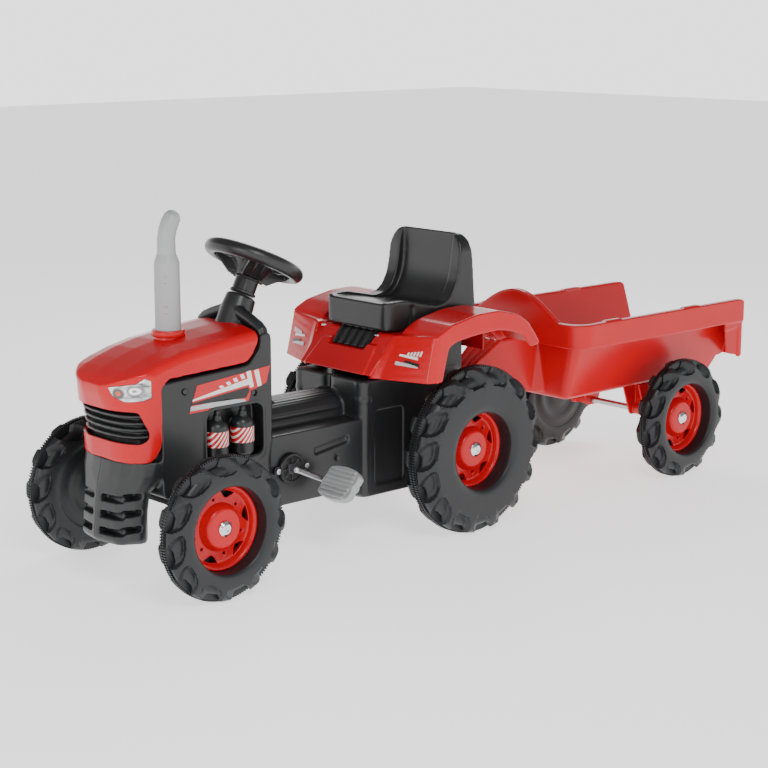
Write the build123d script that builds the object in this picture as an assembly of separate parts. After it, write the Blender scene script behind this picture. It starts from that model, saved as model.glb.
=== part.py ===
"""Child's ride-on pedal tractor with a drop-pin trailer.

Millimetres.  +Z is up, -Y is the way it drives, +X is the driver's left.
The origin is on the ground, under the middle of the tractor and trailer.
"""
import os
from math import cos, radians, sin

from build123d import *

# ---- driving dimensions -------------------------------------------------
FRONT_AXLE_Y = -604.0
REAR_AXLE_Y = -51.0
TRAILER_AXLE_Y = 521.0
SMALL_R = 115.0            # front and trailer tyre radius
LARGE_R = 147.0            # driven rear tyre radius
SMALL_HALF_W = 26.0        # half widths of the tyres
LARGE_HALF_W = 33.0
FRONT_WHEEL_X = 185.0      # mid planes of the wheels
REAR_WHEEL_X = 174.0
TRAILER_WHEEL_X = 170.0
RIM_R = 68.0
WALL = 3.0                 # moulded plastic wall
RUN = 0.05                 # radial running clearance of a shaft in its bore
GAP = 0.4                  # free gap between pieces that move past each other

BODY_X = 91.0              # half width of the engine and the box under the seat
BODY_FRONT = -645.0
ENGINE_REAR = -428.0
BOX_FRONT = -233.0
BOX_REAR = 6.0
SILL_Z = 93.0              # underside of the engine and the step-through
BOX_BOTTOM = 74.0
BAY_Z = 146.0              # roof of the bay that holds the front axle
BAY_REAR = -464.0
STEP_TOP = 213.0
DECK_Z = 345.0             # underside of the deck between the fenders
SHOULDER_Y = -150.0        # front of the box's raised part, under the deck
SHOULDER_Z = 277.0

COLUMN_TILT = 26.0
WHEEL_CENTRE = (0.0, -390.0, 489.0)
STEER_R = 73.0             # centre line of the steering wheel's rim
STEER_TUBE_R = 12.0
SHAFT_R = 6.0
CUP_R = 27.0               # cup that carries the steering column
CUP_FOOT = 122.0           # how far below the wheel's centre the cup starts
CRANK_OFFSET = 38.5        # throw of the arm at the foot of the steering shaft
SHAFT_FOOT_Z = 140.0

KINGPIN_X = 144.0
KINGPIN_R = 6.0
KNUCKLE_ARM = 55.0
TIE_Z = 111.4
SPINDLE_R = 6.0

CRANK_Y = -390.0
CRANK_Z = 155.0
CRANK_ARM = 62.0
CRANK_DIP = 25.0           # how far the left arm hangs below level at rest, degrees
CRANK_X = 104.0
PEDAL_X = 149.5            # middle of a pedal
BEARING_R = 24.0           # flange of the crank's bearing
BEARING_EAR = 30.0         # its screws, this far in front and behind
CHAIN_X = 30.0
FRONT_SPROCKET_R = 46.0
REAR_SPROCKET_R = 30.7

FENDER_X = 192.0
STACK_Y = -565.0           # exhaust stack
STACK_R = 21.0
BOLT_R = 3.0               # seat bolts
BOLT_PLACES = [(-30.0, -110.0), (30.0, -110.0), (-30.0, -20.0), (30.0, -20.0)]
HITCH_Y = 55.0
HITCH_R = 6.0

TUB_TOP = 326.0
BAND_H = 45.0
TUB_FLOOR = 176.0
TUB_X = 162.0
TUB_FLOOR_X = 106.0
TUB_FRONT = 233.0
TUB_REAR = 722.0

AXIS = (0.0, sin(radians(COLUMN_TILT)), cos(radians(COLUMN_TILT)))


# ---- helpers ------------------------------------------------------------
def prism_x(points, x0, x1):
    """Outline of (y, z) points, extruded from x0 to x1."""
    outline = Plane.YZ.offset(x0) * Polyline(*points, close=True)
    return extrude(make_face(outline), amount=x1 - x0, dir=(1, 0, 0))


def prism_y(points, y0, y1):
    """Outline of (x, z) points, extruded from y0 to y1."""
    outline = Polyline(*[(x, y0, z) for x, z in points], close=True)
    return extrude(make_face(outline), amount=y1 - y0, dir=(0, 1, 0))


def prism_z(points, z0, z1):
    """Outline of (x, y) points, extruded from z0 to z1."""
    outline = Polyline(*[(x, y, z0) for x, y in points], close=True)
    return extrude(make_face(outline), amount=z1 - z0, dir=(0, 0, 1))


def block(x0, x1, y0, y1, z0, z1):
    centre = ((x0 + x1) / 2, (y0 + y1) / 2, (z0 + z1) / 2)
    return Pos(*centre) * Box(x1 - x0, y1 - y0, z1 - z0)


def rod(start, end, radius):
    """Round bar between two points."""
    line = Vector(*end) - Vector(*start)
    plane = Plane(origin=start, z_dir=line)
    return extrude(plane * Circle(radius), amount=line.length)


def ring(start, end, outer, inner):
    return rod(start, end, outer) - rod(start, end, inner)


def ball(centre, radius):
    return Pos(*centre) * Sphere(radius)


def both_sides(solid):
    """The solid and its mirror image, kept as two solids."""
    return Compound(children=[solid, mirror(solid, Plane.YZ)])


def turned(profile):
    """Revolve an outline of (x, radius) points about the X axis."""
    return revolve(make_face(Polyline(*profile, close=True)), Axis.X)


def column_point(distance):
    """Point on the steering column, this far below the wheel's centre."""
    x, y, z = WHEEL_CENTRE
    return (x, y - distance * AXIS[1], z - distance * AXIS[2])


def save(name, shape):
    export_step(shape, f"parts/{name}.step")


# ---- wheels -------------------------------------------------------------
def tyre(radius, half_w):
    """Hollow blow-moulded tyre, open towards the rim and closed on its inner side."""
    wall = 4.0
    shoulder = radius - 16.0
    crown = 0.6 * half_w
    outer = [(-half_w + 3, RIM_R), (-half_w, RIM_R + 6), (-half_w, shoulder), (-crown, radius),
             (crown, radius), (half_w, shoulder), (half_w, RIM_R + 6), (half_w - 3, RIM_R)]
    inner = [(half_w - 3 - wall, RIM_R), (half_w - wall, RIM_R + 8), (half_w - wall, shoulder - 2),
             (crown - 2, radius - wall), (2 - crown, radius - wall), (wall - half_w, shoulder - 2),
             (wall - half_w, RIM_R + 8), (3 + wall - half_w, RIM_R)]
    back = [(-half_w, 14), (-half_w, RIM_R + 7), (3.1 - half_w, RIM_R + 7), (3.1 - half_w, 14)]
    return turned(outer + inner) + turned(back)


def rim(half_w, bore):
    """Dished rim with a boss, a hub tube and a ring of slots and small holes."""
    back = 3.5 - half_w
    profile = [(back, 62), (back, RIM_R), (0, RIM_R), (0, 60), (-2, 58), (-6, 58), (-6, 39),
               (5, 36), (6, 34), (6, bore), (back, bore), (back, 15), (1, 15), (1, 33),
               (-9, 36), (-9, 61), (-3, 62)]
    shape = turned(profile)
    slot = SlotArc(CenterArc((0, 0), 53.5, -12, 24), 7)
    for index in range(6):
        angle = 60 * index
        cut = extrude(Plane.YZ.offset(-20) * Rot(0, 0, angle) * slot, amount=25)
        hole_centre = Plane.YZ.offset(-20) * Rot(0, 0, angle + 30) * Pos(47, 0)
        shape -= cut
        shape -= extrude(hole_centre * Circle(2.6), amount=25)
    return shape


def hub_cap():
    """Domed push-on cap over the end of the spindle."""
    dome = [(6, 0), (6, 12.5), (8, 12.5), (10.5, 10), (12, 5), (12.4, 0)]
    return turned(dome)


def save_wheel(prefix, radius, half_w, wheel_x, axle_y, bore):
    pieces = {"tyre": tyre(radius, half_w), "rim": rim(half_w, bore), "hub_cap": hub_cap()}
    for piece, shape in pieces.items():
        placed = Pos(wheel_x, axle_y, radius) * shape
        save(f"{prefix}_left_{piece}", placed)
        save(f"{prefix}_right_{piece}", mirror(placed, Plane.YZ))


# ---- body ---------------------------------------------------------------
def nose_outline(inset, front):
    """Plan view of the blunt nose, narrowing to the front."""
    w = BODY_X - inset
    return [(-w, BODY_FRONT + 4), (-w, -668), (-w + 14, front + 24), (-46, front + 7), (0, front),
            (46, front + 7), (w - 14, front + 24), (w, -668), (w, BODY_FRONT + 4)]


def body_side_outline(inset):
    """Side view of the body: engine, step-through and the box under the seat."""
    i = inset
    return [(BODY_FRONT + i, BAY_Z + i), (BODY_FRONT + i, 331 - i), (-472, 339 - i), (-449 + i, 366),
            (-449 + i, 398 - i), (ENGINE_REAR - i, 398 - i), (ENGINE_REAR - i, STEP_TOP - i),
            (BOX_FRONT + i, STEP_TOP - i), (BOX_FRONT + i, SHOULDER_Z - i),
            (SHOULDER_Y + i, SHOULDER_Z - i), (SHOULDER_Y + i, DECK_Z - i), (BOX_REAR - i, DECK_Z - i),
            (BOX_REAR - i, BOX_BOTTOM + i), (BOX_FRONT + i, BOX_BOTTOM + i), (-300, SILL_Z + i),
            (BAY_REAR + i, SILL_Z + i), (BAY_REAR + i, BAY_Z + i)]


def tunnel(inset):
    """Arched cover over the chain, from the engine to the box."""
    half = 46.0 - inset
    top = 254.0 - inset
    low = STEP_TOP - 20.0
    arch = [(-half, low), (-half, top - 26), (-half + 10, top - 7), (-half + 24, top),
            (half - 24, top), (half - 10, top - 7), (half, top - 26), (half, low)]
    return prism_y(arch, ENGINE_REAR - 12, BOX_FRONT + 12)


def bumper_outline(inset):
    """Plan view of the narrower lower part of the nose."""
    w = 72.0 - inset
    f = -712 + inset
    return [(-w, BODY_FRONT + 4), (-w, f + 40), (-50, f + 14), (0, f), (50, f + 14), (w, f + 40),
            (w, BODY_FRONT + 4)]


def nose(inset):
    """Bumper, its wider shoulder and the upper grille block, in front of the engine."""
    lower = prism_z(bumper_outline(inset), 76 + inset, 190)
    lower += prism_z(nose_outline(inset, -712 + inset), 172 + inset, 209 - inset)
    upper = prism_z(nose_outline(inset + 6, -696 + inset), 190, 312 - inset)
    return lower + upper


def grille_slots():
    """Three slots on each side of the bumper, and three in the upper grille."""
    slots = []
    for z in (92, 118, 144):
        slots.append(block(10, 46, -730, -692, z, z + 9))
    for z in (244, 262, 280):
        slots.append(block(14, 58, -730, -688, z, z + 8))
    return slots


def filter_canisters():
    """Two dummy filter bottles standing in the engine's side pocket."""
    bottles = []
    for y in (-536, -484):
        bottles.append(rod((BODY_X - 12, y, 196), (BODY_X - 12, y, 262), 17))
        bottles.append(rod((BODY_X - 12, y, 180), (BODY_X - 12, y, 292), 5))
    return bottles


def body_half():
    """Left half of the blow-moulded body, open along the middle plane."""
    outer = prism_x(body_side_outline(0), 0, BODY_X) + tunnel(0) + nose(0)
    outer += ring((BODY_X - 2, REAR_AXLE_Y, LARGE_R), (134, REAR_AXLE_Y, LARGE_R), 24, 11)
    inner = prism_x(body_side_outline(WALL), -1, BODY_X - WALL) + tunnel(WALL) + nose(WALL)
    inner += block(-1, 68, -668, BODY_FRONT + 12, BAY_Z + WALL, 206)
    shell = outer - inner
    shell -= block(-200, 0, -800, 100, 0, 500)
    for slot in grille_slots():
        shell -= slot
    pocket = block(BODY_X - 26, BODY_X + 1, -566, -446, 184, 284)
    pocket_liner = block(BODY_X - 28, BODY_X, -568, -444, 182, 286)
    shell += pocket_liner - pocket
    shell -= pocket
    for bottle in filter_canisters():
        shell += bottle
    shell -= rod((0, CRANK_Y, CRANK_Z), (BODY_X + 10, CRANK_Y, CRANK_Z), 17)
    shell -= rod((0, REAR_AXLE_Y, LARGE_R), (140, REAR_AXLE_Y, LARGE_R), 11)
    shell -= rod(column_point(60), column_point(400), 9)
    for hole in bolt_rods(BOLT_R + RUN):
        shell -= hole
    return shell


def save_body():
    left = body_half()
    save("body_shell_left", left)
    save("body_shell_right", mirror(left, Plane.YZ))


def column_housing():
    """Cowl behind the bonnet with the cup that carries the steering column."""
    wedge = prism_y([(-BODY_X, 398), (BODY_X, 398), (BODY_X, 405), (28, 424), (-28, 424), (-BODY_X, 405)],
                    -448, ENGINE_REAR)
    cup = rod(column_point(CUP_FOOT), column_point(60), CUP_R)
    cup -= block(-60, 60, -449 - GAP, -300, 350, 398)
    return wedge + cup - rod(column_point(50), column_point(140), 11)


def steering_bush():
    return ring(column_point(92), column_point(60), 11, SHAFT_R + RUN)


# ---- bonnet -------------------------------------------------------------
def bonnet_profile(inset):
    """Side view: rounded nose, rising top and a straight lower edge."""
    i = inset
    return [(-699 + i, 216 - 4 * i), (-714 + i, 262), (-722 + i, 322), (-716 + i, 348 - i),
            (-694, 368 - i), (-650, 382 - i), (-585, 391 - i), (-520, 396 - i), (-456 - i, 398 - i),
            (-452 - i, 370), (-474 - i, 342), (-646 + i, 334 - 4 * i), (-649 + i, 226 - 4 * i)]


def bonnet_plan(inset):
    """Plan view, narrowing to the nose."""
    w = BODY_X - 1 - inset
    f = -722 + inset
    return [(-w, -400), (-w, -664), (-w + 12, f + 26), (-46, f + 6), (0, f), (46, f + 6),
            (w - 12, f + 26), (w, -664), (w, -400)]


def bonnet_form(inset):
    form = prism_x(bonnet_profile(inset), -BODY_X, BODY_X) & prism_z(bonnet_plan(inset), 150, 450)
    chamfer_w = 26.0
    for side in (-1, 1):
        w = side * (BODY_X - 1 - inset)
        wedge = prism_y([(w, 500), (w, 366 - inset), (w - side * chamfer_w, 392 - inset),
                         (w - side * chamfer_w, 500)], -760, -400)
        form -= wedge
    return form


def bonnet():
    """One red moulding, 3 mm thick, open below and over the grille."""
    neck = rod((0, STACK_Y, 350), (0, STACK_Y, 390), 22)
    collar = rod((0, STACK_Y, 385), (0, STACK_Y, 396), 27)
    shape = (bonnet_form(0) + neck + collar) - bonnet_form(WALL)
    shape -= rod((0, STACK_Y, 340), (0, STACK_Y, 420), STACK_R)
    shape -= rod(column_point(150), column_point(60), CUP_R + GAP)
    window = [(-64, 240), (64, 240), (68, 250), (60, 292), (-60, 292), (-68, 250)]
    shape -= prism_y(window, -760, -676)
    for side in (-1, 1):
        shape -= headlamp_form(side, 0.0)
    return shape


def headlamp_form(side, inset):
    """Wedge-shaped lamp recess that wraps the corner of the nose."""
    lens = [(42, 329), (48, 315), (65, 306), (83, 307), (89, 318), (89, 323), (84.5, 343), (78, 335)]
    outline = make_face(Polyline(*[(side * x, z) for x, z in lens], close=True))
    if inset:
        outline = offset(outline, amount=-inset, kind=Kind.INTERSECTION)
    shape = extrude(Plane.XZ.offset(655) * outline, amount=105)
    return shape - bonnet_form(4)


def headlamp(side):
    """Chromed lamp unit with its lens, set flush in the bonnet."""
    return headlamp_form(side, GAP) & bonnet_form(0.8)


def exhaust_pipe():
    """Grey stack: fat silencer below, thinner pipe bent back at the top."""
    y = STACK_Y
    silencer = rod((0, y, 374), (0, y, 506), STACK_R)
    neck = Pos(0, y, 506) * Cone(STACK_R, 14.5, 12, align=(Align.CENTER, Align.CENTER, Align.MIN))
    path = Line((0, y, 516), (0, y, 540)) + TangentArc((0, y, 540), (0, y + 16, 576), tangent=(0, 0, 1))
    stack = sweep(Plane(origin=(0, y, 516), z_dir=(0, 0, 1)) * Circle(14.5), path=path)
    return silencer + neck + stack


# ---- rear deck, fenders and seat ---------------------------------------
def fender_outline(drop):
    """Side view of the arch over the driven wheel."""
    d = drop
    return [(-163 + d, 279), (-158 + d, 362 - d), (-116, 379 - d), (-60, 391 - d), (0, 389 - d),
            (50, 378 - d), (78 - d, 356 - d), (100 - d, 317), (76, 314), (52, 343), (2, 350),
            (-108, 338), (-128, 330), (-146, 279)]


def fender():
    """Left fender: outer band, top skin and front face."""
    solid = prism_x(fender_outline(0), 104, FENDER_X)
    front = prism_z([(78, -219), (98, -203), (186, -166), (FENDER_X, -156), (FENDER_X, -146), (104, -146),
                     (104, -176), (78, -190)], 279, 352)
    hollow_under = [(-160, 260), (-155, 359), (-116, 376), (-60, 388), (0, 386), (50, 375), (75, 354),
                    (96, 312), (60, 300), (-100, 300), (-140, 260)]
    hollow = prism_x(hollow_under, 107, FENDER_X - WALL)
    front_hollow = prism_z([(82, -213), (98, -200), (183, -163), (189, -155), (189, -140), (107, -140),
                            (107, -170), (82, -187)], 270, 349)
    return (solid + front) - hollow - front_hollow


def rear_deck():
    """Red moulding that joins both fenders, the deck and the front apron."""
    left = fender()
    deck = block(-108, 108, -192, 40, DECK_Z, DECK_Z + WALL)
    apron = prism_x([(-219, 286), (-193, DECK_Z + WALL), (-189, DECK_Z + WALL), (-215, 286)], -84, 84)
    rear = block(-108, 108, 37, 40, 300, DECK_Z + WALL)
    shape = left + mirror(left, Plane.YZ) + deck + apron + rear
    shape -= block(-50, 50, -230, SHOULDER_Y, 324, 400)
    shape -= block(-BODY_X - GAP, BODY_X + GAP, SHOULDER_Y - GAP, BOX_REAR + GAP, 270, DECK_Z)
    for hole in bolt_rods(BOLT_R + RUN):
        shape -= hole
    return shape


def seat_form(inset):
    """Pan and upright back with raised sides, grown smaller by the inset."""
    i = inset
    side = [(-168 + i, 352 - 4 * i), (-170 + i, 396 - i), (-160, 402 - i), (-40, 394 - i), (-16 + i, 410),
            (-8 + i, 440), (0 + i, 496), (6 + i, 508 - i), (16 - i, 508 - i), (22 - i, 500 - i),
            (38 - i, 352 - 4 * i)]
    shell = prism_x(side, -84 + i, 84 - i)
    dish = [(-190, 388 - i), (-60, 380 - i), (-26, 384 - i), (-2 + i, 410 - i), (6 + i, 450), (14 + i, 540),
            (-190, 540)]
    shell -= prism_x(dish, -62 - i, 62 + i)
    crop = [(-84 + i, 300), (84 - i, 300), (84 - i, 482), (76 - i, 500 - i), (58 - i, 508 - i),
            (-58 + i, 508 - i), (-76 + i, 500 - i), (-84 + i, 482)]
    return shell & prism_y(crop, -200, 60)


def seat():
    """Moulded seat, open underneath, with a boss for each bolt."""
    shape = seat_form(0) - seat_form(4)
    for x, y in BOLT_PLACES:
        shape += rod((x, y, 352), (x, y, 380), 8)
    for hole in bolt_rods(BOLT_R + RUN):
        shape -= hole
    return shape


def bolt_rods(radius):
    """Straight rods through the places where the seat is bolted down."""
    return [rod((x, y, DECK_Z - WALL), (x, y, 372), radius) for x, y in BOLT_PLACES]


def seat_bracket():
    """Ribbed black bracket between the body and the seat, seen in the apron's notch."""
    front = SHOULDER_Y - GAP
    shape = block(-46, 46, front - 8, 20, DECK_Z + WALL, 352)
    shape += block(-46, 46, front - 8, front, 324, 352)
    for x in (-40, -24, -8, 8, 24, 40):
        shape += block(x - 2, x + 2, front - 13, front - 8, 326, 350)
    for hole in bolt_rods(BOLT_R + RUN):
        shape -= hole
    return shape


# ---- steering -----------------------------------------------------------
def steering_wheel():
    """Rim, three spokes and a deep conical hub."""
    plane = Plane(origin=WHEEL_CENTRE, x_dir=(1, 0, 0), z_dir=AXIS)
    rim_ring = plane * Torus(STEER_R, STEER_TUBE_R)
    hub = plane * Pos(0, 0, -17) * Cone(21, 36, 26)
    shape = rim_ring + hub
    for angle in (90, 210, 330):
        spoke = extrude(plane.offset(-6) * Rot(0, 0, angle) * Pos(50, 0) * Rectangle(40, 30), amount=9)
        shape += spoke
    return shape - rod(column_point(30), column_point(1), SHAFT_R)


def steering_cap():
    """Round pad that hides the wheel's nut."""
    return rod(column_point(-4), column_point(-9), 30)


def column_sleeve():
    return ring(column_point(58), column_point(30.5), 20, SHAFT_R)


def steering_shaft():
    """Bent steel rod: straight down the column, then an offset pin."""
    foot_distance = (WHEEL_CENTRE[2] - SHAFT_FOOT_Z) / AXIS[2]
    foot = column_point(foot_distance)
    knee = (0, foot[1] + CRANK_OFFSET * AXIS[2], foot[2] - CRANK_OFFSET * AXIS[1])
    pin_end = (0, knee[1] - 17 * AXIS[1], knee[2] - 17 * AXIS[2])
    shape = rod(column_point(1), foot, SHAFT_R) + rod(foot, knee, 5) + rod(knee, pin_end, 4)
    return shape + ball(foot, SHAFT_R) + ball(knee, 5)


def front_axle_beam():
    """Steel beam bolted under the body, with a kingpin sleeve at each end."""
    beam = block(-126, 126, FRONT_AXLE_Y - 10, FRONT_AXLE_Y + 10, 126, BAY_Z)
    for side in (-1, 1):
        x = side * KINGPIN_X
        beam += rod((x, FRONT_AXLE_Y, 124), (x, FRONT_AXLE_Y, 152), 11)
        beam -= rod((x, FRONT_AXLE_Y, 100), (x, FRONT_AXLE_Y, 160), KINGPIN_R + RUN)
    return beam


def knuckle():
    """Left knuckle: kingpin, wheel spindle and steering arm."""
    x = KINGPIN_X
    y = FRONT_AXLE_Y
    shape = rod((x, y, 106), (x, y, 158), KINGPIN_R)
    shape += rod((x, y, 152 + GAP), (x, y, 158), 10)
    shape += block(x - 9, x + 10, y - 10, y + 10, 106, 124 - GAP)
    shape += rod((x, y, SMALL_R), (FRONT_WHEEL_X + 5.5, y, SMALL_R), SPINDLE_R)
    shape += block(x - 7, x + 7, y, y + KNUCKLE_ARM + 7, 106, TIE_Z - GAP)
    return shape + rod((x, y + KNUCKLE_ARM, 106), (x, y + KNUCKLE_ARM, 118), 4)


def tie_rod():
    """Flat bar between the steering arms, with a slotted tongue for the shaft's pin."""
    y = FRONT_AXLE_Y + KNUCKLE_ARM
    top = TIE_Z + WALL
    shape = block(-KINGPIN_X, KINGPIN_X, y - 8, y + 8, TIE_Z, top)
    for side in (-1, 1):
        shape += rod((side * KINGPIN_X, y, TIE_Z), (side * KINGPIN_X, y, top), 8)
    shape += block(-14, 14, y, -515, TIE_Z, top)
    for side in (-1, 1):
        shape -= rod((side * KINGPIN_X, y, 100), (side * KINGPIN_X, y, 120), 4 + RUN)
    return shape - block(-4.8, 4.8, -539, -523.5, 100, 120)


# ---- drive --------------------------------------------------------------
def crank_direction():
    return (cos(radians(CRANK_DIP)), -sin(radians(CRANK_DIP)))


def crank_shaft():
    """One bent steel bar: axle, two opposite arms and two pedal spindles."""
    dy, dz = crank_direction()
    shape = rod((-CRANK_X, CRANK_Y, CRANK_Z), (CRANK_X, CRANK_Y, CRANK_Z), 6)
    for side in (-1, 1):
        x = side * CRANK_X
        end_y = CRANK_Y + side * dy * CRANK_ARM
        end_z = CRANK_Z + side * dz * CRANK_ARM
        shape += ball((x, CRANK_Y, CRANK_Z), 6)
        shape += rod((x, CRANK_Y, CRANK_Z), (x, end_y, end_z), 5)
        shape += ball((x, end_y, end_z), 5)
        shape += rod((x, end_y, end_z), (side * (PEDAL_X + 36), end_y, end_z), 5)
    return shape


def pedal(side, tilt):
    """Ribbed plastic pedal on its spindle, tilted about the spindle."""
    dy, dz = crank_direction()
    body = Box(75, 50, 15)
    for index in range(-2, 3):
        body -= Pos(2, index * 9.0, 7.5) * Box(60, 5, 5)
    body = fillet(body.edges().filter_by(Axis.Z).group_by(SortBy.LENGTH)[-1], 6)
    body -= Rot(0, 90, 0) * Cylinder(5 + RUN, 80)
    centre = (side * PEDAL_X, CRANK_Y + side * dy * CRANK_ARM, CRANK_Z + side * dz * CRANK_ARM)
    return Pos(*centre) * Rot(tilt, 0, 0) * body


def crank_bearing():
    """Round flanged bearing with two ears, let into the body's side."""
    x = BODY_X
    shape = rod((x, CRANK_Y, CRANK_Z), (x + 5, CRANK_Y, CRANK_Z), BEARING_R)
    shape += rod((x - 12, CRANK_Y, CRANK_Z), (x, CRANK_Y, CRANK_Z), 17)
    for dy in (-BEARING_EAR, BEARING_EAR):
        shape += rod((x, CRANK_Y + dy, CRANK_Z), (x + 3, CRANK_Y + dy, CRANK_Z), 7)
        shape += block(x, x + 3, CRANK_Y + min(dy, 0), CRANK_Y + max(dy, 0), CRANK_Z - 7, CRANK_Z + 7)
    return shape - rod((0, CRANK_Y, CRANK_Z), (120, CRANK_Y, CRANK_Z), 6 + RUN)


def crank_bearing_screws():
    screws = []
    for side in (-1, 1):
        for dy in (-BEARING_EAR, BEARING_EAR):
            start = (side * (BODY_X + 3), CRANK_Y + dy, CRANK_Z)
            screws.append(rod(start, (start[0] + side * 2.5, start[1], start[2]), 4.5))
    return Compound(children=screws)


def sprocket(y, z, radius, teeth, bore):
    """Flat chain wheel with pointed teeth."""
    shape = rod((CHAIN_X - 1.5, y, z), (CHAIN_X + 1.5, y, z), radius)
    for index in range(teeth):
        angle = 2 * 180 * index / teeth
        tooth = prism_x([(radius - 2, -3.2), (radius + 3.5, -1), (radius + 3.5, 1), (radius - 2, 3.2)],
                        CHAIN_X - 1.5, CHAIN_X + 1.5)
        shape += Pos(0, y, z) * Rot(angle, 0, 0) * tooth
    shape += rod((CHAIN_X - 8, y, z), (CHAIN_X + 8, y, z), 11)
    return shape - rod((CHAIN_X - 20, y, z), (CHAIN_X + 20, y, z), bore)


def chain_plate(x):
    """One side of the chain: a flat loop round both sprockets."""
    plane = Plane.YZ.offset(x)
    front = Vector(CRANK_Y, CRANK_Z)
    rear = Vector(REAR_AXLE_Y, LARGE_R)

    def loop(grow):
        big = Pos(front.X, front.Y) * Circle(FRONT_SPROCKET_R + grow)
        small = Pos(rear.X, rear.Y) * Circle(REAR_SPROCKET_R + grow)
        return make_hull((big + small).edges())

    return extrude(plane * (loop(4) - loop(-4)), amount=1.2)


def chain():
    """Chain loop with rollers along its two straight runs."""
    shape = chain_plate(CHAIN_X - 4.6) + chain_plate(CHAIN_X + 3.4)
    count = 20
    for index in range(count):
        part = (index + 2.5) / (count + 4)
        y = CRANK_Y + part * (REAR_AXLE_Y - CRANK_Y)
        z = CRANK_Z + part * (LARGE_R - CRANK_Z)
        half = FRONT_SPROCKET_R + part * (REAR_SPROCKET_R - FRONT_SPROCKET_R)
        for sign in (-1, 1):
            shape += rod((CHAIN_X - 4.6, y, z + sign * half), (CHAIN_X + 4.6, y, z + sign * half), 3)
    return shape


def rear_axle():
    return rod((-REAR_WHEEL_X - 5.5, REAR_AXLE_Y, LARGE_R), (REAR_WHEEL_X + 5.5, REAR_AXLE_Y, LARGE_R), 6)


def rear_axle_bushes():
    bush = ring((112, REAR_AXLE_Y, LARGE_R), (136, REAR_AXLE_Y, LARGE_R), 11, 6 + RUN)
    return both_sides(bush)


# ---- trailer ------------------------------------------------------------
def tub_section(half_x, front, rear, z, corner):
    face = Pos(0, (front + rear) / 2, z) * RectangleRounded(2 * half_x, rear - front, corner)
    return face


def tub_form(inset):
    """Tapered tub, deeper than its wall by the inset all round."""
    low = tub_section(TUB_FLOOR_X - inset, 262 + inset, 800, TUB_FLOOR + inset, 18)
    high = tub_section(TUB_X - 8 - inset, TUB_FRONT + 8 + inset, 800, TUB_TOP + inset * 0.01, 34)
    return loft([low, high])


def drawbar():
    """Sloping tongue from the front wall to the hitch, tapered in plan and open below."""
    side = [(40, 201), (40, 222), (80, 222), (90, 242), (107, 257), (159, 293), (242, 300), (262, 186),
            (236, 186), (160, 201)]
    plan = [(-20, 40), (20, 40), (26, 80), (46, 170), (52, 270), (-52, 270), (-46, 170), (-26, 80)]
    hollow_side = [(94, 150), (94, 239), (109, 252), (161, 289), (238, 296), (300, 150)]
    hollow_plan = [(-22, 84), (22, 84), (42, 170), (48, 270), (-48, 270), (-42, 170)]
    shape = prism_x(side, -60, 60) & prism_z(plan, 150, 320)
    shape -= prism_x(hollow_side, -60, 60) & prism_z(hollow_plan, 140, 320)
    for y in (130, 170, 210):
        rib = block(-60, 60, y - 1.5, y + 1.5, 205, 300)
        shape += rib & prism_x(side, -60, 60) & prism_z(plan, 150, 320)
    return shape


def trailer_tub():
    """Red tub, open at the rear, with a turned-down band and a high front wall."""
    rear_cut = block(-200, 200, TUB_REAR - 3, 900, 100, 400)
    walls = tub_form(0) - tub_form(WALL) - rear_cut
    band_outer = tub_section(TUB_X, TUB_FRONT, TUB_REAR + 60, TUB_TOP - BAND_H, 40)
    band_inner = tub_section(TUB_X - WALL, TUB_FRONT + WALL, TUB_REAR + 60, TUB_TOP - BAND_H, 37)
    band = extrude(band_outer, amount=BAND_H, dir=(0, 0, 1)) - extrude(band_inner, amount=BAND_H, dir=(0, 0, 1))
    lip_hole = tub_section(TUB_X - 8 - WALL, TUB_FRONT + 8 + WALL, 900, TUB_TOP - WALL, 31)
    lip = extrude(tub_section(TUB_X, TUB_FRONT, TUB_REAR + 60, TUB_TOP - WALL, 40), amount=WALL, dir=(0, 0, 1))
    lip -= extrude(lip_hole, amount=WALL, dir=(0, 0, 1))
    shape = walls + (band + lip - block(-200, 200, TUB_REAR, 900, 100, 400))
    post = block(TUB_X - WALL, TUB_X, TUB_REAR - 26, TUB_REAR, 207, TUB_TOP - BAND_H + 2)
    end_plate = prism_y([(TUB_X, 207), (TUB_X, TUB_TOP), (TUB_X - 12, TUB_TOP), (118, 207)],
                        TUB_REAR - 3, TUB_REAR)
    for piece in (post, end_plate):
        shape += piece + mirror(piece, Plane.YZ)
    arch = make_face(Polyline((109, TUB_TOP - 20), (-109, TUB_TOP - 20), (-109, TUB_TOP))
                     + ThreePointArc((-109, TUB_TOP), (0, 378), (109, TUB_TOP))
                     + Line((109, TUB_TOP), (109, TUB_TOP - 20)))
    hump = extrude(Plane.XZ * arch, amount=-9)
    shape += Pos(0, TUB_FRONT, 0) * hump
    shape += drawbar() - tub_form(0)
    shape -= prism_x([(676, 160), (740, 160), (740, 207), (702, 207)], -TUB_X, TUB_X)
    return shape - rod((0, HITCH_Y, 150), (0, HITCH_Y, 300), HITCH_R + RUN)


def trailer_axle_bracket():
    """Moulded block under the floor: two cheeks and a web, bored for the axle."""
    outline = [(480, TUB_FLOOR), (562, TUB_FLOOR), (535, 104), (507, 104)]
    shape = prism_x(outline, 54, 59) + prism_x(outline, 95, 100)
    shape += block(56, 98, 519, 523, 104, TUB_FLOOR)
    shape += rod((56, TRAILER_AXLE_Y, SMALL_R), (98, TRAILER_AXLE_Y, SMALL_R), 11)
    return shape - rod((30, TRAILER_AXLE_Y, SMALL_R), (120, TRAILER_AXLE_Y, SMALL_R), SPINDLE_R)


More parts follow.
